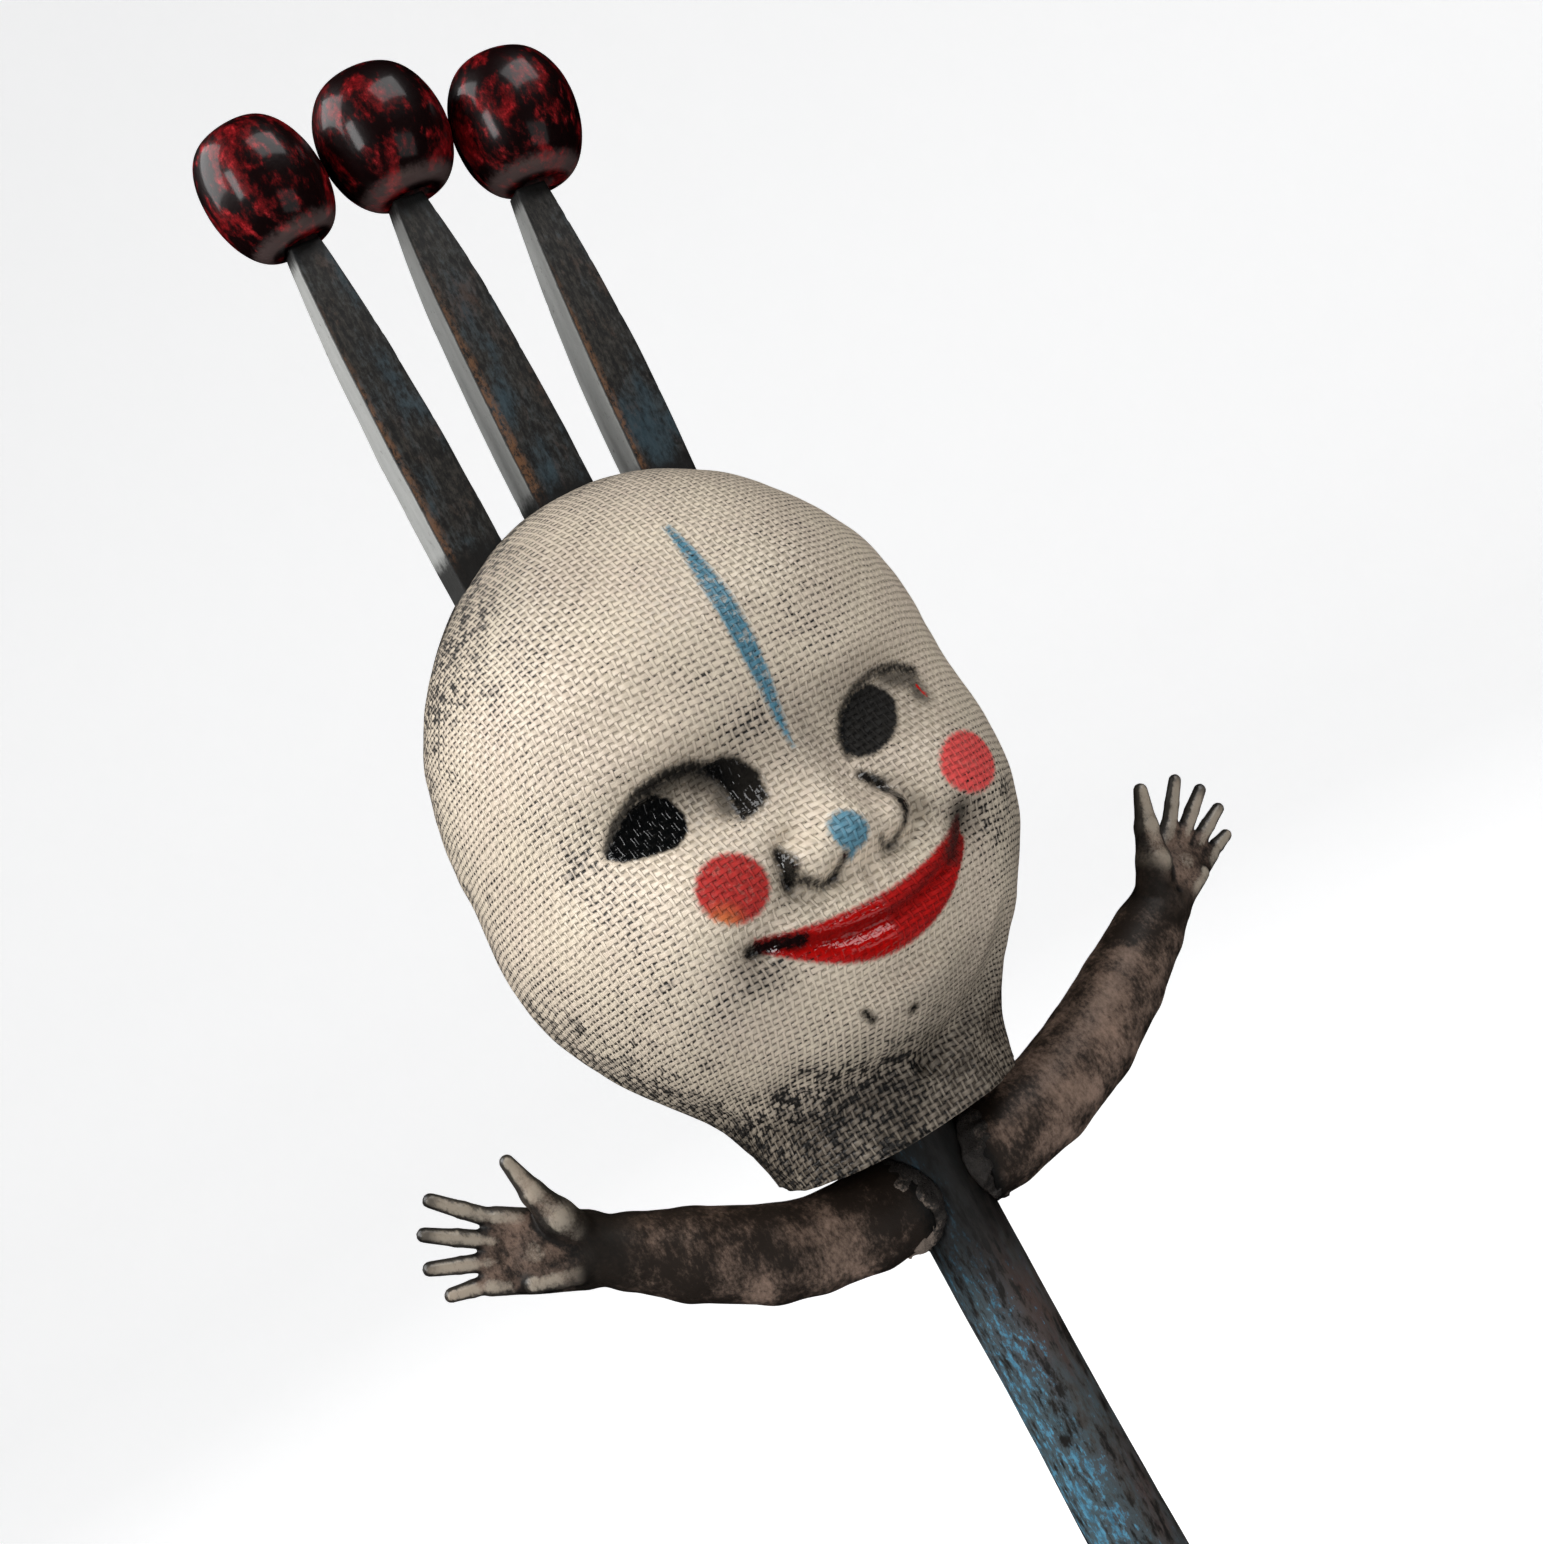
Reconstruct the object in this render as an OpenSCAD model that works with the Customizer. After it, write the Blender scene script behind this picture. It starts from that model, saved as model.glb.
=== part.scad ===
// Scarecrow figure: a pressed-cloth doll head with three bead-tipped tines and two arms, on a pole.
// Millimetres. The origin is the centre of the pole's lower end, +Z runs up the pole, the face looks along -Y.

/* [Pole] */
// Height of the arms' reference point above the pole's lower end
shoulder_z = 130; // [110:1:200]
// Diameter of the straight lower end of the pole
pole_foot_d = 13.5; // [12.8:0.1:15]
// Diameter of the pole at the arms and in the head
pole_top_d = 12.1; // [11:0.1:12.4]
// Length of the straight lower end
pole_foot_len = 60; // [30:1:70]

/* [Head] */
// Size of the head across and front to back, against its drawn size
head_scale = 1; // [0.96:0.01:1.05]
// Wall of the stiffened cloth shells
shell_wall = 1.6; // [1.2:0.1:2.2]
// Sideways offset of the head from the pole
head_x = -1; // [-2:0.1:2]

/* [Tines] */
// Spacing between the feet of the tines
tine_gap = 15.5; // [14.5:0.1:16.5]
// Width of a side tine at its foot
tine_w = 8.2; // [7:0.1:9]
// Width of the middle tine at its foot
tine_mid_w = 9.4; // [8:0.1:10]
// Thickness of a tine at its foot
tine_t = 8.4; // [7:0.1:9]
// Forward lean of the tines, in degrees
tine_lean = 5; // [2:0.5:7]

/* [Beads] */
// Diameter of the middle and right beads; the left one is a little smaller
bead_d = 18.7; // [16:0.1:19]
// Length of the middle bead along its hole
bead_len = 18; // [16:0.1:19]
// Diameter of the hole through a bead
bead_hole_d = 5; // [4:0.1:5.6]

/* [Arms] */
// Diameter of the steel rod that carries both arms
rod_d = 2.4; // [1.6:0.1:3]
// How far the rod runs into each arm
rod_bite = 12; // [8:0.5:13]
// Diameter of an arm at the shoulder
arm_d = 13.6; // [12:0.1:15]

/* [Hidden] */

glue_gap = 0.1;             // room left between glued pieces
smooth = 48;                // facets of a round, where OpenSCAD draws it

rod_z = shoulder_z + 2;     // the rod sits a little above the arms' reference point
foot_chamfer = 0.8;
taper_len = 32;             // the pole narrows from its foot diameter over this height
pole_top_z = shoulder_z + 78;

// Cross sections of the head: height above the shoulder, half width, depth in front, depth behind.
// They run from the neck over the jaw, cheeks and brow to the crown.
head_rows = [
    [9.0, 18.9, 20.0, 12.8],
    [12.4, 19.0, 20.0, 13.0],
    [17.0, 20.0, 19.5, 14.0],
    [22.0, 21.6, 21.0, 15.5],
    [27.0, 24.6, 26.0, 19.0],
    [33.0, 29.2, 31.5, 23.5],
    [40.0, 33.6, 35.6, 27.5],
    [48.0, 36.8, 37.4, 30.0],
    [57.0, 38.0, 37.0, 31.0],
    [67.0, 37.6, 35.0, 31.5],
    [77.0, 36.9, 36.8, 31.0],
    [86.0, 34.8, 36.4, 29.3],
    [94.0, 31.0, 32.8, 26.4],
    [101.0, 25.6, 27.6, 22.2],
    [107.0, 18.6, 20.6, 16.6],
    [111.0, 11.4, 13.0, 10.4],
    [112.7, 5.6, 6.4, 5.2]
];
head_y = 2;                 // the widest part of the head lies this far behind the pole's axis
head_top = 113.2;           // crown above the shoulder
head_steps = 60;            // corners round a section
face_power = 2.3;           // above 2 the sections are fuller than an ellipse
crown_from = 60;            // above this the wall's inner side also drops, towards the crown

module at_shoulder() { translate([0, 0, shoulder_z]) children(); }

function bulge(s) = sign(s) * pow(abs(s), 2 / face_power);
function head_point(row, az, inset) = [
    head_x + head_scale * (row[1] - inset) * bulge(sin(az)),
    head_y - head_scale * ((cos(az) > 0 ? row[2] : row[3]) - inset) * bulge(cos(az)),
    row[0] - inset * max(0, (row[0] - crown_from) / (head_top - crown_from))
];

// The head's outer form, moved inwards by inset and cut off level below the given height.
module head_solid(inset, from_h) {
    rows = [for (r = head_rows) if (r[0] > from_h) r];
    n = len(rows);
    m = head_steps;
    ring = [for (r = rows) for (j = [0:m - 1]) head_point(r, j * 360 / m, inset)];
    floor_mid = [head_x, head_y, rows[0][0]];
    crown = [head_x, head_y, head_top - inset];
    polyhedron(
        points = concat(ring, [floor_mid, crown]),
        faces = concat(
            [for (i = [0:n - 2]) for (j = [0:m - 1]) each [
                [i * m + j, (i + 1) * m + j, (i + 1) * m + (j + 1) % m],
                [i * m + j, (i + 1) * m + (j + 1) % m, i * m + (j + 1) % m]
            ]],
            [for (j = [0:m - 1]) [n * m, j, (j + 1) % m]],
            [for (j = [0:m - 1]) [(n - 1) * m + j, n * m + 1, (n - 1) * m + (j + 1) % m]]
        ),
        convexity = 4
    );
}

// The seam between the mask and the back, seen from the side: it runs up behind the
// cheeks, then curves forward to pass just in front of the tines.
seam_back = 9.5;
seam_front = -5.4;
seam_bend_h = 55;
function seam_y(h) =
    seam_back - (seam_back - seam_front) * pow(max(0, (h - seam_bend_h) / (head_top - 3 - seam_bend_h)), 3);

module front_region(shift = 0) {
    steps = 12;
    low = 5;
    high = head_top + 2;
    rotate([90, 0, 90]) linear_extrude(120, center = true)
        polygon(concat(
            [[-60, low]],
            [for (i = [0:steps]) let (h = low + (high - low) * i / steps) [seam_y(h) - shift, h]],
            [[-60, high]]
        ));
}

module head_shell() {
    difference() {
        head_solid(0, 10);
        head_solid(shell_wall, 5);
        all_tines(2 * glue_gap);
    }
}

// Pressed face with a small button of a nose.
nose_h = 54.5;
nose_out = 34.2;
nose_d = 9;
module mask_face() {
    color("antiquewhite") at_shoulder() {
        intersection() {
            head_shell();
            front_region(glue_gap / 2);
        }
        translate([head_x, -nose_out, nose_h]) scale([0.95, 0.95, 0.8]) sphere(d = nose_d, $fn = 28);
    }
}

module head_back() {
    color("dimgray") at_shoulder() difference() {
        head_shell();
        front_region(-glue_gap / 2);
    }
}

// Block inside the head: flat in front, so that the mask stands hollow before it.
core_front = -15;
core_floor = 25;
module head_core() {
    color("burlywood") difference() {
        at_shoulder() intersection() {
            head_solid(shell_wall + 2 * glue_gap, core_floor);
            translate([-60, core_front, 0]) cube([120, 80, head_top]);
        }
        pole_solid(glue_gap);
        at_shoulder() all_tines(glue_gap);
        at_shoulder() screw_place() {
            screw_body(glue_gap);
            cylinder(h = 30, d = screw_head_d + 1, $fn = smooth);
        }
    }
}

// Screw from the back of the block into the pole.
screw_d = 3;
screw_head_d = 6;
screw_len = 22;
screw_h = 55;
module screw_place() { translate([0, 20, screw_h]) rotate([-90, 0, 0]) children(); }
module screw_body(grow = 0) {
    translate([0, 0, -screw_len]) cylinder(h = screw_len, d = screw_d + 2 * grow, $fn = smooth);
}
module core_screw() {
    color("silver") at_shoulder() screw_place() difference() {
        union() {
            screw_body();
            cylinder(h = 2, d = screw_head_d, $fn = smooth);
        }
        translate([0, 0, 2]) cube([0.8, screw_head_d + 1, 1.6], center = true);
    }
}

// Each tine: side, width, foot height, length, sideways lean; then for its bead: sideways
// offset, tilt, and diameter and length against bead_d and bead_len.
foot_depth = 9;
tip_w = 4.6;
tip_t = 4.4;
tine_specs = [
    [-1, tine_w, 104.5, 53.5, -1, 0.2, -6, 0.91, 0.97],
    [0, tine_mid_w, 107.5, 51.7, 0, 1.3, 1, 1, 1],
    [1, tine_w, 104.5, 50.3, 2, 1.8, 6, 1, 1.05]
];
function spec_bead_d(spec) = bead_d * spec[7];
function spec_bead_len(spec) = bead_len * spec[8];

module tine_place(spec) {
    translate([head_x + spec[0] * tine_gap, 0, spec[2]])
        rotate([tine_lean, spec[4], 0])
            children();
}

// Blade outline: nearly parallel sides that curve in towards the tip.
tine_curve = 2.6;           // the greater, the nearer to the tip the sides start to curve in
module tine_outline(w, tip, len, grow) {
    steps = 9;
    side = [for (i = [0:steps]) let (u = i / steps)
        [(tip + (w - tip) * (1 - pow(u, tine_curve))) / 2 + grow, len * u]];
    polygon(concat(
        [[-w / 2 - grow, -foot_depth - grow], [w / 2 + grow, -foot_depth - grow]],
        side,
        [for (i = [steps:-1:0]) [-side[i][0], side[i][1]]]
    ));
}

module tine_body(spec, grow = 0) {
    intersection() {
        rotate([90, 0, 0]) linear_extrude(2 * tine_t, center = true)
            tine_outline(spec[1], tip_w, spec[3], grow);
        rotate([90, 0, 90]) linear_extrude(2 * spec[1], center = true)
            tine_outline(tine_t, tip_t, spec[3], grow);
    }
}

module all_tines(grow) {
    for (spec = tine_specs) tine_place(spec) tine_body(spec, grow);
}

// A round peg on the tip carries the bead.
peg_d = bead_hole_d - 0.4;
peg_len = bead_len - 6;
peg_root = 3;               // the peg starts this far down inside the tine
bead_lift = 0.4;
bead_mouth_r = 3.6;         // the flat round each end of the hole

// Frame of a bead: its origin is the tip of the tine, and +Z runs up the hole.
module bead_place(spec) {
    tine_place(spec) translate([spec[5], 0, spec[3]])
        rotate([0, spec[6], 0])
            children();
}

module tine(spec) {
    color("darkslategray") at_shoulder() {
        difference() {
            tine_place(spec) tine_body(spec);
            bead_place(spec) cylinder(h = 4, d = bead_d, $fn = smooth);
        }
        bead_place(spec) translate([0, 0, -peg_root])
            cylinder(h = peg_len + peg_root, d = peg_d, $fn = smooth);
    }
}

// Barrel bead: a rounded profile, flattened where the hole comes out.
module bead(spec) {
    steps = 14;
    len = spec_bead_len(spec);
    swell = spec_bead_d(spec) / 2 - bead_mouth_r;
    side = [for (i = [0:steps]) let (a = -90 + 180 * i / steps)
        [bead_mouth_r + swell * cos(a), len / 2 * (1 + sin(a))]];
    color("darkred") at_shoulder() bead_place(spec) translate([0, 0, bead_lift]) difference() {
        rotate_extrude($fn = smooth) polygon(concat([[0, 0]], side, [[0, len]]));
        translate([0, 0, -1]) cylinder(h = len + 2, d = bead_hole_d, $fn = smooth);
    }
}

// Black glue that fills the upper mouth of each bead over the end of its peg.
module bead_glue() {
    color("black") at_shoulder() for (spec = tine_specs)
        bead_place(spec) translate([0, 0, peg_len + glue_gap])
            cylinder(h = spec_bead_len(spec) - peg_len - 0.4, d = bead_hole_d - 2 * glue_gap, $fn = smooth);
}

module pole_solid(grow = 0) {
    taper_top = pole_foot_len + taper_len;
    rotate_extrude($fn = smooth) polygon([
        [0, -grow],
        [pole_foot_d / 2 - foot_chamfer + grow, -grow],
        [pole_foot_d / 2 + grow, foot_chamfer],
        [pole_foot_d / 2 + grow, pole_foot_len],
        [pole_top_d / 2 + grow, taper_top],
        [pole_top_d / 2 + grow, pole_top_z + grow],
        [0, pole_top_z + grow]
    ]);
}

module rod_solid(grow = 0) {
    reach = pole_top_d / 2 + rod_bite + grow;
    translate([-reach, 0, rod_z]) rotate([0, 90, 0])
        cylinder(h = 2 * reach, d = rod_d + 2 * grow, $fn = smooth);
}

module pole() {
    color("slategray") difference() {
        pole_solid();
        rod_solid(glue_gap);
        at_shoulder() screw_place() screw_body(glue_gap);
    }
}

module arm_rod() { color("silver") rod_solid(); }

// An arm on the right: elbow and wrist (out, up) from the shoulder, the rise of the hand, the
// angle between its fingers, the size of its palm and fingers, and the tip of its thumb.
left_arm = [[26.5, 5.5], [46.6, 19.9], 31.4, 10.5, 1, [13.5, 11.5]];
right_arm = [[32, 6], [53.9, 17.2], 31.2, 12.4, 0.86, [13.3, 12]];
arm_root = [4, 2];
upper_arm = [16, 2.2];
elbow_swell = 0.6;
wrist_d = 9.3;
palm_len = 14.5;
palm_w = 10.4;
palm_t = 4.4;
finger_reach = [24.6, 24.4, 23.4, 21];
finger_d = 2.6;
finger_tip_d = 2;
thumb_root = [4.5, 3];
thumb_root_d = 4.8;
thumb_tip_d = 2.4;
arm_flat = 5;               // the arm's root is cut off flat this far from the pole's axis
thumb_forward = 3;          // the thumb's tip lies this far in front of the palm's middle

module ball(at, d) { translate([at[0], 0, at[1]]) sphere(d = d, $fn = 30); }

module limb(from, from_d, to, to_d) {
    hull() {
        ball(from, from_d);
        ball(to, to_d);
    }
}

// The hand lies in its own frame: +X between the two middle fingers, +Z to the thumb's side.
module hand(spec) {
    fan = spec[3];
    scale(spec[4]) {
        hull() {
            sphere(d = wrist_d, $fn = 30);
            for (s = [-1, 1]) ball([palm_len, s * (palm_w - palm_t) / 2], palm_t);
        }
        for (i = [0:3]) rotate([0, 90 + fan * (i - 1.5), 0])
            translate([0, 0, palm_len - 2])
                cylinder(h = finger_reach[i] - palm_len + 2, d1 = finger_d, d2 = finger_tip_d, $fn = 20);
    }
    hull() {
        ball(thumb_root, thumb_root_d);
        translate([spec[5][0], -thumb_forward, spec[5][1]]) sphere(d = thumb_tip_d, $fn = 24);
    }
}

module arm(spec) {
    color("rosybrown") difference() {
        at_shoulder() {
            limb(arm_root, arm_d, upper_arm, arm_d);
            limb(upper_arm, arm_d, spec[0], arm_d + elbow_swell);
            limb(spec[0], arm_d + elbow_swell, spec[1], wrist_d);
            translate([spec[1][0], 0, spec[1][1]]) rotate([0, -spec[2], 0]) hand(spec);
        }
        pole_solid(glue_gap);
        rod_solid(glue_gap);
        translate([-arm_d, -arm_d, 0]) cube([arm_d + arm_flat, 2 * arm_d, 2 * shoulder_z]);
    }
}

module arm_right() { arm(right_arm); }
module arm_left() { mirror([1, 0, 0]) arm(left_arm); }

// Putty collar packed round an arm's root against the pole.
collar_from = 2;
collar_len = 6.4;
collar_lip = 1.6;
module putty_right() {
    color("black") difference() {
        translate([collar_from, 0, rod_z]) rotate([0, 90, 0])
            cylinder(h = collar_len, d1 = arm_d + 2 * collar_lip, d2 = arm_d + collar_lip, $fn = smooth);
        pole_solid(glue_gap);
        translate([0, 0, rod_z]) rotate([0, 90, 0])
            cylinder(h = 2 * collar_len, d = arm_d + 4 * glue_gap, $fn = smooth);
    }
}

module putty_left() { mirror([1, 0, 0]) putty_right(); }

// Putty plug between the pole and the hollow of the neck, up to the block.
plug_from = 14;
plug_r = [10.5, 17];
module neck_putty() {
    color("black") difference() {
        at_shoulder() translate([0, 0, plug_from])
            cylinder(h = core_floor + 1.8 - plug_from, r1 = plug_r[0], r2 = plug_r[1], $fn = smooth);
        pole_solid(glue_gap);
    }
}

pole();
head_core();
mask_face();
head_back();
neck_putty();
core_screw();
tine(tine_specs[0]);  // tine_left
tine(tine_specs[1]);  // tine_middle
tine(tine_specs[2]);  // tine_right
bead(tine_specs[0]);  // bead_left
bead(tine_specs[1]);  // bead_middle
bead(tine_specs[2]);  // bead_right
bead_glue();
arm_left();
arm_right();
arm_rod();
putty_left();
putty_right();
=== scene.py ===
"""Scarecrow figure: a painted cloth doll's head with bead-tipped tines and doll's arms, on a pole.

Shapes are worked out in millimetres from the shoulder, the point on the pole's axis between the
arms, and turned into metres in the CAD frame when a piece is made. The face looks along -Y.
"""
import math
from collections import namedtuple

import bpy
import numpy as np
from mathutils import Matrix, Vector


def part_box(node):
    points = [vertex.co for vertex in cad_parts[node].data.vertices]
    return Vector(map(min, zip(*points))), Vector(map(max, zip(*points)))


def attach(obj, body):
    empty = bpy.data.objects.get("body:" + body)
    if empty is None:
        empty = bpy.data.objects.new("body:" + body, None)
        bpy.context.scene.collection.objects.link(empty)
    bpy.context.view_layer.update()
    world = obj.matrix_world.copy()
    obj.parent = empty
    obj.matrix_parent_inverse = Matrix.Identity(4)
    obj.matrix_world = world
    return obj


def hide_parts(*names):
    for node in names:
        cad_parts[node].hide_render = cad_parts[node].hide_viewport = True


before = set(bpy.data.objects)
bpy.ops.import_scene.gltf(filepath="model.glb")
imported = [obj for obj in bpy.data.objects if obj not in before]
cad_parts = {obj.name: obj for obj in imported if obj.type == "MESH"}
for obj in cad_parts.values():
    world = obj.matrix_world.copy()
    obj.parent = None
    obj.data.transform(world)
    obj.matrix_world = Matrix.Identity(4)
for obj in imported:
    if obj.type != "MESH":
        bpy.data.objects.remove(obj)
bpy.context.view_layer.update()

MM = 0.001


# ---------------------------------------------------------------- places taken from the frame

def box_mm(node):
    """Lowest and highest corner of a CAD node, in millimetres."""
    low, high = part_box(node)
    return np.array(low) / MM, np.array(high) / MM


ROD_ABOVE_SHOULDER = 2.0
rod_low, rod_high = box_mm("arm_rod")
SHOULDER_Z = (rod_low[2] + rod_high[2]) / 2 - ROD_ABOVE_SHOULDER
mask_low, mask_high = box_mm("mask_face")
HEAD_X = (mask_low[0] + mask_high[0]) / 2
HEAD_Y = 2.0
HEAD_TOP = box_mm("head_back")[1][2] - SHOULDER_Z
NECK_H = mask_low[2] - SHOULDER_Z
POLE_TOP_R = 6.05


# ---------------------------------------------------------------- small tools

def smooth_step(low, high, x):
    t = np.clip((x - low) / (high - low), 0.0, 1.0)
    return t * t * (3.0 - 2.0 * t)


def bump(x, h, cx, ch, sx, sh, power=1.0):
    """Soft round bump of height 1 at (cx, ch); a power above 1 gives it a flatter top."""
    r2 = ((x - cx) / sx) ** 2 + ((h - ch) / sh) ** 2
    return np.exp(-(r2 ** power))


def bumps(x, h, rows):
    """Sum of bumps, each one given as its height, middle and size."""
    return sum(height * bump(x, h, *shape) for height, *shape in rows)


def ridge(distance, width):
    """Soft line of height 1 where the distance is 0."""
    return np.exp(-(distance / width) ** 2)


def spline(xs, ys, x):
    """Smooth curve through (xs, ys), evaluated at x."""
    slope = np.gradient(ys, xs)
    i = np.clip(np.searchsorted(xs, x) - 1, 0, len(xs) - 2)
    width = xs[i + 1] - xs[i]
    t = np.clip((x - xs[i]) / width, 0.0, 1.0)
    return ((2 * t ** 3 - 3 * t ** 2 + 1) * ys[i] + (t ** 3 - 2 * t ** 2 + t) * width * slope[i]
            + (3 * t ** 2 - 2 * t ** 3) * ys[i + 1] + (t ** 3 - t ** 2) * width * slope[i + 1])


def path_distance(x, h, points):
    """Distance from each (x, h) to a line through points."""
    best = np.full(np.shape(x), np.inf)
    for (ax, ah), (bx, bh) in zip(points[:-1], points[1:]):
        dx, dh = bx - ax, bh - ah
        t = np.clip(((x - ax) * dx + (h - ah) * dh) / (dx * dx + dh * dh), 0.0, 1.0)
        best = np.minimum(best, np.hypot(x - ax - t * dx, h - ah - t * dh))
    return best


def outline_distance(x, h, points):
    """Signed distance to a closed outline, negative inside."""
    inside = np.zeros(np.shape(x), dtype=bool)
    for (ax, ah), (bx, bh) in zip(points, points[1:] + points[:1]):
        crosses = (ah > h) != (bh > h)
        inside ^= crosses & (x < ax + (h - ah) * (bx - ax) / (bh - ah if bh != ah else 1e-9))
    return np.where(inside, -1.0, 1.0) * path_distance(x, h, points + points[:1])


def ellipse_distance(x, h, cx, ch, rx, rh):
    """Signed distance to an ellipse, near enough for a painted edge."""
    u, v = x - cx, h - ch
    k = np.hypot(u / rx, v / rh)
    return (k - 1.0) * k / np.maximum(np.hypot(u / rx ** 2, v / rh ** 2), 1e-6)


def wobble(points, size, seed):
    """Smooth noise between about -1 and 1 at points (N, 3), with features of the given size."""
    rng = np.random.default_rng(seed)
    total, weight = np.zeros(len(points)), 0.0
    for octave in range(3):
        scale, share = 2.0 ** octave / size, 0.5 ** octave
        for _ in range(4):
            direction = rng.normal(size=3)
            direction /= np.linalg.norm(direction)
            bend = rng.normal(size=3)
            phase = rng.uniform(0.0, 2.0 * math.pi, 2)
            along = points @ direction * scale * 3.1 + phase[0]
            total += share * np.sin(along + 1.3 * np.sin(points @ bend * scale * 1.7 + phase[1]))
        weight += share * 2.0
    return total / weight


# ---------------------------------------------------------------- meshes

def make_piece(name, node, material, points, faces, fields):
    """Piece in a CAD node's place: points in mm from the shoulder, and named values at the points."""
    mesh = bpy.data.meshes.new(name)
    world = (np.asarray(points) + [0.0, 0.0, SHOULDER_Z]) * MM
    mesh.from_pydata(world.tolist(), [], faces)
    mesh.validate()
    for field, values in fields.items():
        layer = mesh.attributes.new(field, "FLOAT", "POINT")
        layer.data.foreach_set("value", np.asarray(values, dtype=np.float32))
    mesh.shade_smooth()
    piece = bpy.data.objects.new(name, mesh)
    bpy.context.scene.collection.objects.link(piece)
    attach(piece, "root")
    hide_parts(node)
    mesh.materials.append(material)


def grid_faces(rows, cols, start=0, around=False, flip=False):
    """Quads of a rows x cols grid of points; around closes each row on itself."""
    i, j = np.meshgrid(np.arange(rows - 1), np.arange(cols if around else cols - 1), indexing="ij")
    k = (j + 1) % cols
    quads = np.stack([i * cols + j, i * cols + k, (i + 1) * cols + k, (i + 1) * cols + j], -1)
    quads = quads.reshape(-1, 4) + start
    return (quads[:, ::-1] if flip else quads).tolist()


def grid_normals(grid):
    """Unit normals of a grid of points (rows, cols, 3)."""
    normal = np.cross(np.gradient(grid, axis=1), np.gradient(grid, axis=0))
    return normal / np.maximum(np.linalg.norm(normal, axis=-1, keepdims=True), 1e-9)


def pushed_out(grid, distance):
    """Grid of points, each one moved along its normal."""
    return grid + grid_normals(grid) * distance.reshape(grid.shape[:2] + (1,))


def lathe(profile, degrees):
    """Points of a profile of (radius, height) turned about Z in steps, and their count in a ring."""
    around = np.radians(np.arange(0, 360, degrees))
    radius, height = profile[:, :1], profile[:, 1:]
    rings = np.stack([radius * np.cos(around), radius * np.sin(around), height + 0.0 * around], -1)
    return rings.reshape(-1, 3), len(around)


def ring_faces(rows, cols, closed):
    """Faces of rings of points: closed from the last ring to the first, or with a fan at each end.

    The fans meet in the two points that follow the rings, first the one for the first ring.
    """
    faces = grid_faces(rows, cols, around=True)
    last, end = (rows - 1) * cols, rows * cols
    for k in range(cols):
        following = (k + 1) % cols
        if closed:
            faces.append([last + k, last + following, following, k])
        else:
            faces += [[following, k, end], [last + k, last + following, end + 1]]
    return faces


def outwards(points):
    """Unit vectors that point away from the Z axis."""
    level = points * [1.0, 1.0, 0.0]
    return level / np.maximum(np.linalg.norm(level, axis=1, keepdims=True), 1e-6)


def to_left(points, faces):
    """Mirror image in X, with its faces still turned outwards."""
    return points * [-1.0, 1.0, 1.0], [face[::-1] for face in faces]


# ---------------------------------------------------------------- clay: shapes built from capsules

def soft_least(a, b, blend):
    """The smaller of two distances, rounded off where they meet."""
    k = np.clip(0.5 + 0.5 * (a - b) / blend, 0.0, 1.0)
    return a + (b - a) * k - blend * k * (1.0 - k)


def neighbours(field, axis, rest):
    """Two views of a 3-D field, one step apart along an axis, cut to rest along the other two."""
    views = []
    for span in (slice(0, -1), slice(1, None)):
        index = [rest] * 3
        index[axis] = span
        views.append(field[tuple(index)])
    return views


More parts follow.
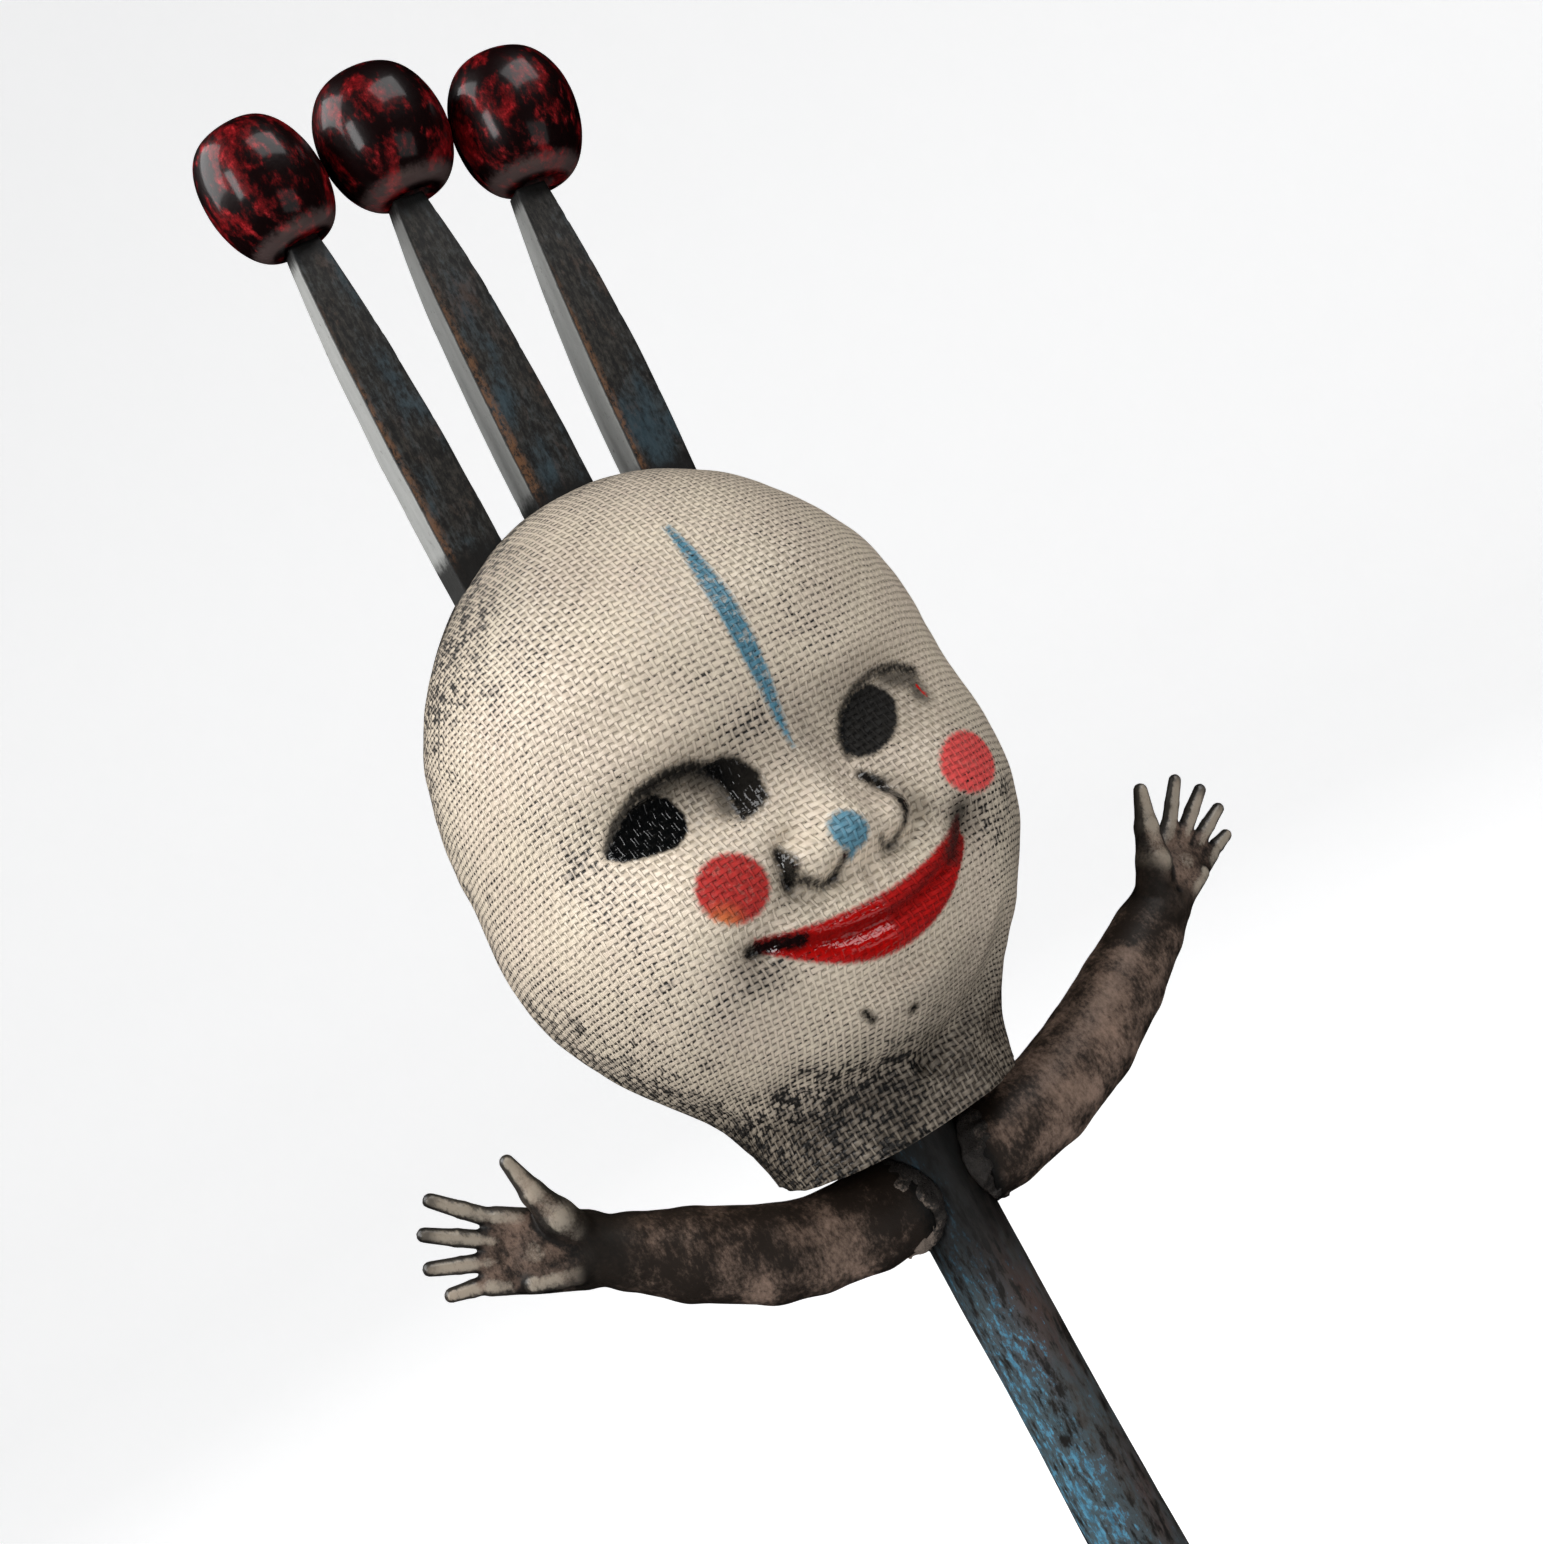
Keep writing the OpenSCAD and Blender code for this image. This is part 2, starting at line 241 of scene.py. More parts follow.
class Clay:
    """A distance field on a regular grid, added to and cut with capsules, then turned into a mesh."""

    def __init__(self, low, high, step):
        self.low, self.step = np.array(low, float), step
        self.count = np.ceil((np.array(high) - self.low) / step).astype(int) + 1
        self.field = np.full(self.count, 9.0)

    def capsule(self, a, b, ra, rb, flat, margin):
        """Part of the grid near a round cone from a to b, thinner along Y by flat, and its distances."""
        a, b = np.array(a, float), np.array(b, float)
        reach = max(ra, rb) + margin
        low, high = np.minimum(a, b) - reach, np.maximum(a, b) + reach
        first = np.clip(((low - self.low) / self.step).astype(int), 0, self.count)
        last = np.clip(np.ceil((high - self.low) / self.step).astype(int) + 1, 0, self.count)
        axes = [self.low[k] + self.step * np.arange(first[k], last[k]) for k in range(3)]
        p = np.stack(np.meshgrid(*axes, indexing="ij"), -1)
        squeeze = np.array([1.0, 1.0 / flat, 1.0])
        line = (b - a) * squeeze
        rel = (p - a) * squeeze
        t = np.clip(rel @ line / max(line @ line, 1e-9), 0.0, 1.0)
        gap = np.linalg.norm(rel - t[..., None] * line, axis=-1)
        return tuple(slice(i, j) for i, j in zip(first, last)), gap - (ra + (rb - ra) * t)

    def add(self, a, b, ra, rb, blend, flat=1.0):
        part, distance = self.capsule(a, b, ra, rb, flat, 4.0 + blend)
        self.field[part] = soft_least(self.field[part], distance, blend)

    def cut(self, a, b, radius, blend):
        part, distance = self.capsule(a, b, radius, radius, 1.0, 3.0 + blend)
        self.field[part] = -soft_least(-self.field[part], distance, blend)

    def trim(self, x):
        """Take away the clay on the low side of x."""
        xs = self.low[0] + self.step * np.arange(self.count[0])
        self.field = np.maximum(self.field, x - xs[:, None, None])

    def mesh(self):
        """Quads of the field's zero level: one point in each cell that the level crosses."""
        cells = tuple(n - 1 for n in self.field.shape)
        total = np.zeros(cells + (3,))
        crossings = np.zeros(cells)
        for axis in range(3):
            a, b = neighbours(self.field, axis, slice(None))
            cross = (a < 0) != (b < 0)
            t = np.where(cross, a / np.where(cross, a - b, 1.0), 0.0)
            one, two = [k for k in range(3) if k != axis]
            for di, dj in ((0, 0), (0, 1), (1, 0), (1, 1)):
                pick = [slice(None)] * 3
                pick[one] = slice(di, di + cells[one])
                pick[two] = slice(dj, dj + cells[two])
                hit = cross[tuple(pick)]
                crossings += hit
                total[..., axis] += t[tuple(pick)] * hit
                total[..., one] += di * hit
                total[..., two] += dj * hit
        used = crossings > 0
        number = np.full(cells, -1)
        number[used] = np.arange(used.sum())
        points = self.low + (np.argwhere(used) + total[used] / crossings[used][:, None]) * self.step
        faces = []
        for axis in range(3):
            one, two = [k for k in range(3) if k != axis]
            a, b = neighbours(self.field, axis, slice(1, -1))
            for inside_first in (True, False):
                at = np.argwhere((a < 0) & (b >= 0) if inside_first else (a >= 0) & (b < 0))
                corners = []
                for di, dj in ((1, 1), (0, 1), (0, 0), (1, 0)):
                    cell = at.copy()
                    cell[:, one] += di
                    cell[:, two] += dj
                    corners.append(number[tuple(cell.T)])
                quads = np.stack(corners, -1)
                faces.append(quads if inside_first == (axis != 1) else quads[:, ::-1])
        return points, np.concatenate(faces).tolist()


# ---------------------------------------------------------------- material nodes

def operator(operation, swapped=False):
    """Method of Value for one arithmetic operator."""
    def run(value, other):
        a, b = (other, value) if swapped else (value, other)
        return value.paint.math(operation, a, b)
    return run


class Value:
    """A socket that can be added, multiplied and so on, each step making a Math node."""

    def __init__(self, paint, socket):
        self.paint, self.socket = paint, socket

    def __abs__(self):
        return self.paint.math("ABSOLUTE", self)

    __add__ = __radd__ = operator("ADD")
    __sub__, __rsub__ = operator("SUBTRACT"), operator("SUBTRACT", True)
    __mul__ = __rmul__ = operator("MULTIPLY")


class Paint:
    """A material with one Principled shader, and short calls for the nodes that feed it."""

    def __init__(self, name):
        self.material = bpy.data.materials.new(name)
        self.material.use_nodes = True
        self.tree = self.material.node_tree
        self.shader = self.tree.nodes["Principled BSDF"]
        place = self.node("TexCoord").outputs["Object"]
        self.mm = self.node("VectorMath", {0: place, "Scale": 1.0 / MM}, operation="SCALE").outputs[0]

    def feed(self, socket, value):
        if isinstance(value, Value):
            value = value.socket
        if isinstance(value, bpy.types.NodeSocket):
            self.tree.links.new(value, socket)
        elif socket.type == "RGBA":
            socket.default_value = (*value, 1.0)
        else:
            socket.default_value = value

    def node(self, kind, inputs=(), **settings):
        """New node with its settings and its inputs, which go by name or number."""
        node = self.tree.nodes.new("ShaderNode" + kind)
        for name, value in settings.items():
            setattr(node, name, value)
        for key, value in dict(inputs).items():
            self.feed(node.inputs[key], value)
        return node

    def brushes(self):
        """The three calls that a recipe uses most."""
        return self.noise, self.step, self.mix

    def math(self, operation, *values):
        return Value(self, self.node("Math", enumerate(values), operation=operation).outputs[0])

    def high(self, a, b):
        return self.math("MAXIMUM", a, b)

    def step(self, value, low, high):
        """0 below low, 1 above high, smooth between; low may be the greater one."""
        backwards = float(low > high)
        inputs = {"Value": value, "From Min": min(low, high), "From Max": max(low, high),
                  "To Min": backwards, "To Max": 1.0 - backwards}
        node = self.node("MapRange", inputs, interpolation_type="SMOOTHSTEP")
        return Value(self, node.outputs["Result"])

    def field(self, name):
        return Value(self, self.node("Attribute", attribute_name=name).outputs["Fac"])

    def axis(self, vector, k):
        return Value(self, self.node("SeparateXYZ", {0: vector}).outputs[k])

    def normal_axis(self, k):
        return self.axis(self.node("NewGeometry").outputs["Normal"], k)

    def noise(self, size, detail=2.0, rough=0.5, stretch=None, twist=0.0):
        """Noise with blobs of about the given size in mm, on a position scaled by stretch."""
        at = self.mm
        if stretch:
            at = self.node("VectorMath", {0: at, 1: stretch}, operation="MULTIPLY").outputs[0]
        inputs = {"Scale": 1.0 / size, "Detail": detail, "Roughness": rough, "Distortion": twist,
                  "Vector": at}
        return Value(self, self.node("TexNoise", inputs).outputs["Fac"])

    def mix(self, share, a, b):
        return self.node("Mix", {0: share, 6: a, 7: b}, data_type="RGBA").outputs[2]

    def layered(self, colour, *layers):
        """Colour under layers that each have a share and a colour."""
        for share, over in layers:
            colour = self.mix(share, colour, over)
        return colour

    def relief(self, height, depth):
        """Bump from a height between 0 and 1, depth mm deep."""
        node = self.node("Bump", {"Strength": 1.0, "Distance": depth * MM, "Height": height})
        self.feed(self.shader.inputs["Normal"], node.outputs["Normal"])

    def surface(self, colour, roughness, specular=0.5, coat=0.0, coat_roughness=0.03, metal=0.0):
        inputs = {"Base Color": colour, "Roughness": roughness, "Specular IOR Level": specular,
                  "Coat Weight": coat, "Coat Roughness": coat_roughness, "Metallic": metal}
        for name, value in inputs.items():
            self.feed(self.shader.inputs[name], value)
        return self.material


# ---------------------------------------------------------------- cloth

UPRIGHT_PITCH, LEVEL_PITCH = 1.04, 0.95
# The first black is soot and black paint, and also painted shade in the gaps between threads and on the
# hand's turned-away sides; the brown is glazing and painted shade.
SOOT_AND_SHADE, SOOT_VEIL, BROWN_GLAZE_AND_SHADE = (0.007, 0.0065, 0.006), (0.085, 0.075, 0.066), (0.060, 0.047, 0.035)
# Each cloth: two base colours, then a darker one that is painted shade in the holes between threads.
CREAM_CLOTH = ((0.80, 0.70, 0.54), (0.72, 0.60, 0.485), (0.27, 0.215, 0.14))
DARK_CLOTH = ((0.20, 0.175, 0.14), (0.13, 0.12, 0.11), (0.03, 0.027, 0.024))
THREAD_RELIEF = 0.36


def weave(paint):
    """Plain weave from the thread fields: its height, how far a spot is a hole, and chance by cell."""
    noise, step, _ = paint.brushes()
    u = paint.field("thread_u") + (noise(7.0, 3.0, 0.6) - 0.5) * 1.3
    v = paint.field("thread_v") + (noise(8.0, 3.0, 0.6, (1.0, 1.0, 1.4)) - 0.5) * 1.3
    slub = (noise(1.3, 2.0) - 0.5) * 0.55
    sin_u, sin_v = paint.math("SINE", u * math.pi), paint.math("SINE", v * math.pi)
    over_under = paint.math("SIGN", sin_u) * sin_v, paint.math("SIGN", sin_v) * sin_u
    upright = step(abs(sin_u) + slub * 0.5, 0.64, 0.98) * (over_under[0] * 0.24 + 0.78)
    level = step(abs(sin_v) + slub, 0.12, 0.82) * (0.66 - over_under[1] * 0.30)
    height = paint.high(upright, level)
    hole = step(height + slub * 0.5, 0.36, 0.08)
    cell = paint.node("CombineXYZ", {0: paint.math("FLOOR", u), 1: paint.math("FLOOR", v)}).outputs[0]
    return height, hole, Value(paint, paint.node("TexWhiteNoise", {"Vector": cell}).outputs["Value"])


def cloth(name, colours, painted):
    """Stiffened cloth: two base colours and a darker one painted into the holes and gaps as shade, black
    rubbed in, brown glazing that is also painted shade, and painted shapes.
    """
    paint = Paint(name)
    noise, step, mix = paint.brushes()
    height, hole, chance = weave(paint)
    # The glaze field holds brown glazing that is also painted shade.
    dirt, glaze = paint.field("dirt"), paint.field("glaze")
    clumps = noise(4.5, 4.0, 0.62)
    dashes = noise(0.7, 3.0, 0.65, (0.5, 0.6, 1.0))
    fine = noise(0.5, 2.0, 0.6)
    gap = 1.0 - height
    base_share = noise(11.0, 3.0) * 1.2 + (fine - 0.5) * 0.6 + (chance - 0.5) * 0.3
    # Darker in the holes and the gaps between threads: painted shade.
    colour = mix(hole * 0.40 + gap * 0.24, mix(base_share, *colours[:2]), colours[2])
    lone = step(chance, 0.955, 0.975) * 0.35
    rub = paint.math("MINIMUM", dirt * (clumps * 1.6 + 0.20), 0.92) + gap * 0.42 + hole * (lone + 0.26)
    rub = rub + ((dashes - 0.5) * 1.1 + (chance - 0.5) * 0.6) * (dirt * 0.7 + 0.36)
    rubbed = step(rub, 1.04, 1.34)
    colour = mix(step(rub, 0.72, 1.22) * step(dirt, 0.02, 0.2) * 0.62, colour, SOOT_VEIL)
    # Brown glazing, also painted shade in the hollows, under the chin and in the gaps between threads.
    glazed = glaze * (clumps * 1.1 + 0.45) + gap * glaze * 0.5
    colour = mix(glazed, colour, BROWN_GLAZE_AND_SHADE)
    if painted:
        colour = painted_face(paint, colour, gap, fine)
    colour = mix(rubbed * 0.94, colour, SOOT_AND_SHADE)
    rough = noise(3.0, 2.0) * 0.14 + 0.32 + rubbed * 0.2
    if not painted:
        paint.relief(height * 0.8 + fine * 0.2, THREAD_RELIEF)
        return paint.surface(colour, rough, 0.3)
    wet, dull = paint.field("gloss"), paint.field("dull")
    threads = height * 0.8 * (1.0 - wet * 0.84) + fine * 0.2 * (1.0 - wet * 0.8)
    paint.relief(threads + wet * noise(1.2, 2.0) * 0.45, THREAD_RELIEF)
    return paint.surface(colour, rough - wet * 0.33 + dull * 0.2, 0.50 - dull * 0.42)


SKY_BLUE = (0.055, 0.22, 0.32)
CHEEK_RED, CHEEK_PINK, CHEEK_ORANGE = (0.47, 0.020, 0.017), (0.88, 0.090, 0.085), (0.66, 0.20, 0.05)
LIP_RED, LIP_DARK_RED, LIP_SHADE = (0.62, 0.006, 0.005), (0.279, 0.0027, 0.00225), (0.09, 0.004, 0.004)
EYE_BLACK, EYE_SLATE = (0.0025, 0.0028, 0.003), (0.008, 0.0105, 0.0135)
EYE_SMOKE, EYE_GLINT = (0.022, 0.020, 0.017), (0.50, 0.43, 0.35)


def painted_face(paint, colour, gap, fine):
    """Painted shapes, each from a field that holds the distance to its edge in mm, with painted shade in the
    gaps between threads.
    """
    noise, step, mix = paint.brushes()
    ragged = (fine - 0.5) * 0.7 + (noise(0.35, 2.0) - 0.5) * 0.4
    # How deep a spot lies between threads: paint covers less there, and it sets the painted shade in the
    # gaps.
    threads = gap * 0.4
    worn = step(noise(0.9, 3.0, 0.6) + gap * 0.12, 0.66, 0.58)
    blush = mix(step(paint.field("orange"), 2.2, -2.2), CHEEK_RED, CHEEK_ORANGE)
    blush = mix(step(paint.axis(paint.mm, 0), -5.0, 5.0), blush, CHEEK_PINK)
    reds = mix(noise(2.2, 3.0, 0.6), LIP_RED, LIP_DARK_RED)
    slate = mix(noise(0.8, 3.0, 0.65, (1.0, 1.0, 0.3)), EYE_BLACK, EYE_SLATE)
    for name, soft, shade, cover in [
            ("stripe", 0.8, SKY_BLUE, worn * 0.34 + 0.62), ("nose_dot", 0.8, SKY_BLUE, 0.95),
            ("cheeks", 0.8, blush, worn * 0.08 + 0.91), ("lips", 0.6, reds, 1.0),
            ("lip_shade", 1.2, LIP_SHADE, 0.7), ("smoke", 2.0, EYE_SMOKE, 0.80),
            ("lids", 0.9, EYE_BLACK, 0.92), ("grey_iris", 0.6, slate, 0.97), ("glint", 0.5, EYE_GLINT, 0.5),
            ("iris", 0.45, EYE_BLACK, 1.0), ("marks", 0.9, EYE_BLACK, 0.98), ("speck", 0.3, LIP_RED, 1.0)]:
        edge = paint.field(name) + ragged * soft + threads * soft - soft * 0.12
        share = step(edge, soft * 0.6, -soft * 0.6)
        # Each paint turns towards black in the gaps between threads: painted shade.
        colour = mix(share * cover, colour, mix(threads, shade, SOOT_AND_SHADE))
    return colour


# ---------------------------------------------------------------- the head's form

# From neck to crown: height as a share of the head's top, then half width, depth in front and
# depth behind as shares of the widest half width.
HEAD_ROWS = np.array([
    [0.079, 0.498, 0.526, 0.337], [0.110, 0.500, 0.526, 0.342], [0.150, 0.526, 0.513, 0.368],
    [0.194, 0.568, 0.553, 0.408], [0.239, 0.647, 0.684, 0.500], [0.292, 0.768, 0.829, 0.618],
    [0.353, 0.884, 0.937, 0.724], [0.424, 0.968, 0.984, 0.789], [0.504, 1.000, 0.974, 0.816],
    [0.592, 0.989, 0.921, 0.829], [0.680, 0.971, 0.968, 0.816], [0.760, 0.916, 0.958, 0.771],
    [0.830, 0.816, 0.863, 0.695], [0.892, 0.674, 0.726, 0.584], [0.945, 0.489, 0.542, 0.437],
    [0.981, 0.300, 0.342, 0.274], [0.9956, 0.147, 0.168, 0.137], [1.000, 0.0, 0.0, 0.0],
])
HALF_WIDTH = 38.0
FACE_POWER = 2.3
SEAM_BACK, SEAM_FRONT, SEAM_BEND_H, SEAM_STOP = 9.5, -5.4, 55.0, 3.0
CROWN_H, CORNER_X = 100.0, 17.0
CLOTH_THICKNESS = 1.0


def head_section(h):
    """Half width, front depth and back depth of the head at height h."""
    rows = HEAD_ROWS[:, 0] * HEAD_TOP
    squares = [spline(rows, (HEAD_ROWS[:, k] * HALF_WIDTH) ** 2, h) for k in (1, 2, 3)]
    return [np.sqrt(np.maximum(s, 1e-6)) for s in squares]


def head_level(p):
    """Below 1 inside the head, above 1 outside."""
    width, front, back = head_section(p[..., 2])
    depth = np.where(p[..., 1] < HEAD_Y, front, back)
    level = (np.abs((p[..., 0] - HEAD_X) / width) ** FACE_POWER
             + np.abs((p[..., 1] - HEAD_Y) / depth) ** FACE_POWER)
    return np.where(p[..., 2] > HEAD_TOP, 9.0, level)


def seam_y(h):
    """Where the seam between mask and back runs, in depth, at height h."""
    rise = np.maximum(0.0, (h - SEAM_BEND_H) / (HEAD_TOP - SEAM_STOP - SEAM_BEND_H))
    return SEAM_BACK - (SEAM_BACK - SEAM_FRONT) * rise ** 3


def seam_half():
    """Points of the seam on the right, from the neck to the middle of the crown."""
    h = np.concatenate([np.linspace(NECK_H, CROWN_H, 120), np.linspace(CROWN_H + 0.2, HEAD_TOP, 400)])
    y = seam_y(h)
    width, front, back = head_section(h)
    depth = np.where(y < HEAD_Y, front, back)
    share = 1.0 - np.minimum(1.0, np.abs((y - HEAD_Y) / depth)) ** FACE_POWER
    x = width * np.maximum(share, 0.0) ** (1.0 / FACE_POWER)
    last = np.argmax(share <= 0.0) if (share <= 0.0).any() else len(h) - 1
    points = np.stack([HEAD_X + x, y, h], -1)[:last + 1]
    points[-1, 0] = HEAD_X
    return points


def neck_half(front):
    """Points of the neck's level edge on the right, from the middle to the seam."""
    end = seam_half()[0]
    width, ahead, behind = (float(v) for v in head_section(np.array(NECK_H)))
    side, first, other = (-1.0, ahead, behind) if front else (1.0, behind, ahead)
    angle, power = np.linspace(0.0, 0.5 * math.pi, 200), 2.0 / FACE_POWER
    rising, falling = np.sin(angle) ** power, np.cos(angle) ** power
    x = width * np.concatenate([rising, falling[1:]])
    y = HEAD_Y + side * np.concatenate([first * falling, -other * rising[1:]])
    keep = (y < end[1]) if front else (y > end[1])
    points = np.stack([HEAD_X + x, y, np.full_like(x, NECK_H)], -1)[keep]
    return np.vstack([points, end])


def resample(points, count):
    """Evenly spaced points along a line."""
    length = np.concatenate([[0.0], np.cumsum(np.linalg.norm(np.diff(points, axis=0), axis=1))])
    at = np.linspace(0.0, length[-1], count)
    return np.stack([np.interp(at, length, points[:, k]) for k in range(3)], -1)


def shell_grid(front, rows, cols, crowd):
    """Grid of points over the mask or the back, from the neck's edge to the top of the seam.

    The four edges are turned into directions from a point inside the head, filled in between,
    and each direction is then followed out to the head's surface.
    """
    facing, centre_y = (-1.0, 6.0) if front else (1.0, -14.0)
    centre = np.array([HEAD_X, centre_y, 58.0])
    seam = seam_half()
    corner = np.argmax((seam[:, 2] > CROWN_H) & (seam[:, 0] - HEAD_X < CORNER_X))
    spread = np.linspace(-1.0, 1.0, cols)
    spread = (1.0 - crowd) * spread + crowd * spread ** 3
    s = ((spread + 1.0) / 2.0)[None, :, None]
    t = np.linspace(0.0, 1.0, rows)[:, None, None]

    def angles(points):
        d = points - centre
        return np.stack([np.arctan2(d[:, 0], facing * d[:, 1]),
                         np.arctan2(d[:, 2], np.hypot(d[:, 0], d[:, 1]))], -1)

    def across(half):
        right = resample(half, 600)
        left = right[:0:-1] * [-1.0, 1.0, 1.0] + [2.0 * HEAD_X, 0.0, 0.0]
        found = angles(np.vstack([left, right]))
        place = np.linspace(-1.0, 1.0, len(found))
        return np.stack([np.interp(spread, place, found[:, k]) for k in range(2)], -1)

    def between(left, right):
        return (1.0 - s) * left + s * right

    bottom, top = across(neck_half(front)), across(seam[corner:][::-1])
    side = angles(resample(seam[:corner + 1], rows))[:, None]
    blend = ((1.0 - t) * (bottom - between(bottom[0], bottom[-1]))
             + t * (top - between(top[0], top[-1])) + between(side * [-1.0, 1.0], side))
    turn, rise = blend[..., 0], blend[..., 1]
    way = np.stack([np.sin(turn) * np.cos(rise), facing * np.cos(turn) * np.cos(rise), np.sin(rise)], -1)
    near, far = np.full(turn.shape, 4.0), np.full(turn.shape, 90.0)
    for _ in range(34):
        mid = (near + far) / 2.0
        inside = head_level(centre + way * mid[..., None]) < 1.0
        near, far = np.where(inside, mid, near), np.where(inside, far, mid)
    return centre + way * near[..., None]


def thread_fields(grid):
    """Thread numbers across and up, from the lengths along the grid's own lines."""
    fields = {}
    for name, axis, pitch in (("thread_u", 1, UPRIGHT_PITCH), ("thread_v", 0, LEVEL_PITCH)):
        steps = np.linalg.norm(np.diff(grid, axis=axis), axis=-1)
        length = np.insert(np.cumsum(steps, axis=axis), 0, 0.0, axis=axis)
        length -= np.take(length, [grid.shape[axis] // 2], axis=axis)
        fields[name] = (length / pitch + 0.3).ravel()
    return fields


def make_sheet(name, node, material, outer, fields):
    """Piece of cloth: the outer grid, an inner side with the same fields, and a rim."""
    rows, cols = outer.shape[:2]
    inner = outer - grid_normals(outer) * CLOTH_THICKNESS
    points = np.vstack([outer.reshape(-1, 3), inner.reshape(-1, 3)])
    n = rows * cols
    index = np.arange(n).reshape(rows, cols)
    rim = np.concatenate([index[0], index[1:, -1], index[-1, -2::-1], index[-2:0:-1, 0]])
    following = np.roll(rim, -1)
    faces = grid_faces(rows, cols) + grid_faces(rows, cols, n, flip=True)
    faces += np.stack([rim, rim + n, following + n, following], -1).tolist()
    both_sides = {key: np.tile(values, 2) for key, values in fields.items()}
    make_piece(name, node, material, points, faces, both_sides)


# ---------------------------------------------------------------- the face

FACE_X = HEAD_X - 0.6
MOUTH_H = 41.6
CHIN_FOLD = [(-16.0, 27.6), (-10.0, 24.2), (-4.0, 22.8), (3.0, 21.4), (9.9, 24.0), (15.6, 27.0),
             (20.0, 32.0)]
CHEEK_FOLD = [(9.5, 51.0), (13.0, 48.6), (16.5, 45.8)]
# Bumps and hollows: height, middle, size and power, along the face's middle or on both sides of it.
MIDDLE_BUMPS = [(1.5, 0, 84, 24, 14), (1.5, 0, 42, 14, 7), (-0.5, 0, 47.2, 0.9, 1.6),
                (-1.1, 0, 35.4, 9, 2.0), (3.4, 0, 30.6, 9.5, 5.2)]
PAIRED_BUMPS = [(0.9, 14, 73.5, 8, 3.2), (-3.0, 15.5, 65.5, 8.0, 4.8, 1.2), (1.2, 16, 64.8, 5.0, 3.0),
                (2.5, 6.6, 52.6, 2.7, 3.0, 1.6), (-1.5, 4.2, 49.3, 1.9, 1.2), (3.6, 19.5, 53.0, 10.0, 9.5),
                (-1.5, 16.8, 46.6, 2.8, 2.6), (0.5, 1.7, 47.2, 0.9, 1.6)]


def mouth_line(x, middle, left, right):
    """Height of a smile's curve at x: a parabola, steeper on one side."""
    return middle + np.where(x < 0, left, right) * x * x


def face_relief(x, h):
    """How far the pressed features stand out of the plain head, in mm, towards the front."""
    x = x - FACE_X
    ax = np.abs(x)
    out = bumps(x, h, MIDDLE_BUMPS) + bumps(ax, h, PAIRED_BUMPS)
    bridge = (1.2 + 3.9 * bump(0, h, 0, 53.6, 1, 4.6)) * smooth_step(74, 62, h)
    width = 3.0 + 2.0 * bump(0, h, 0, 52.8, 1, 4.5)
    out += bridge * np.exp(-(ax / width) ** 2.2) * smooth_step(47.9, 51.4, h)
    wing = np.hypot((ax - 6.4) / 3.2, (h - 52.4) / 3.5) - 1.15
    out -= 1.1 * ridge(wing, 0.25) * smooth_step(4.5, 7.0, ax)
    out -= 0.9 * ridge(path_distance(ax, h, CHEEK_FOLD), 1.7)
    above = h - mouth_line(x - 1, MOUTH_H, 0.0155, 0.024)
    out += 1.0 * ridge(above - 1.5, 1.5) * smooth_step(17.5, 11.0, ax)
    out += 1.6 * ridge(above + 2.3, 1.8) * smooth_step(14.5, 6.0, ax)
    out -= 0.9 * ridge(above, 0.55) * smooth_step(17.5, 13.0, ax)
    out -= 1.7 * ridge(path_distance(x, h, CHIN_FOLD), 2.3)
    return out + 0.8 * ridge(path_distance(x, h, CHIN_FOLD[3:]) - 3.6, 1.6)


# Height, left edge and right edge of the stripe on the forehead.
STRIPE = np.array([(66.0, -1.0, -0.8), (69.0, -1.2, -0.1), (72.6, -1.4, 0.3), (76.0, -1.7, 0.6),
                   (80.2, -2.0, 0.9), (85.4, -1.8, 1.1), (89.7, -1.4, 1.2), (94.4, -0.2, 1.5),
                   (98.4, 0.6, 1.4)])
# Outlines and lines of painted shapes as points (x, h), each line with its half width.
LEFT_IRIS = [(-26.6, 64.9), (-24.4, 66.8), (-21.6, 68.8), (-18.5, 69.3), (-16.6, 67.6), (-16.1, 64.9),
             (-17.1, 62.7), (-19.3, 61.8), (-22.3, 62.4), (-25.0, 63.3)]
RIGHT_IRIS = [(5.3, 62.2), (6.2, 64.4), (8.3, 66.6), (11.4, 68.3), (14.5, 68.6), (16.8, 67.0), (16.8, 64.9),
              (14.6, 62.1), (11.8, 60.6), (8.8, 60.1), (6.2, 60.6)]
GLINT = [(14.8, 68.2), (17.2, 67.8), (17.8, 66.2), (16.8, 65.0), (16.2, 66.8)]
EYE_PATCH = [(-11.6, 69.0), (-9.2, 68.9), (-7.5, 67.9), (-6.1, 65.3), (-6.9, 62.0), (-9.0, 61.2),
             (-11.1, 61.0), (-10.4, 63.6), (-10.2, 65.8)]
LEFT_LID = [(-25.6, 65.6), (-23.6, 67.9), (-20.3, 69.8), (-16.6, 70.3), (-12.8, 69.6), (-10.5, 67.8)]
RIGHT_LID = [(5.2, 61.6), (5.9, 64.0), (8.3, 66.8), (11.8, 68.7), (15.5, 69.4), (19.7, 68.9), (22.6, 67.2)]
SMOKE = [([(-19.0, 69.0), (-14.0, 69.4), (-10.5, 66.5), (-11.5, 63.0)], 1.5),
         ([(17.5, 68.0), (21.5, 66.4), (21.0, 64.0)], 1.5),
         ([(10.6, 44.6), (13.0, 46.8), (14.6, 48.6)], 1.5)]
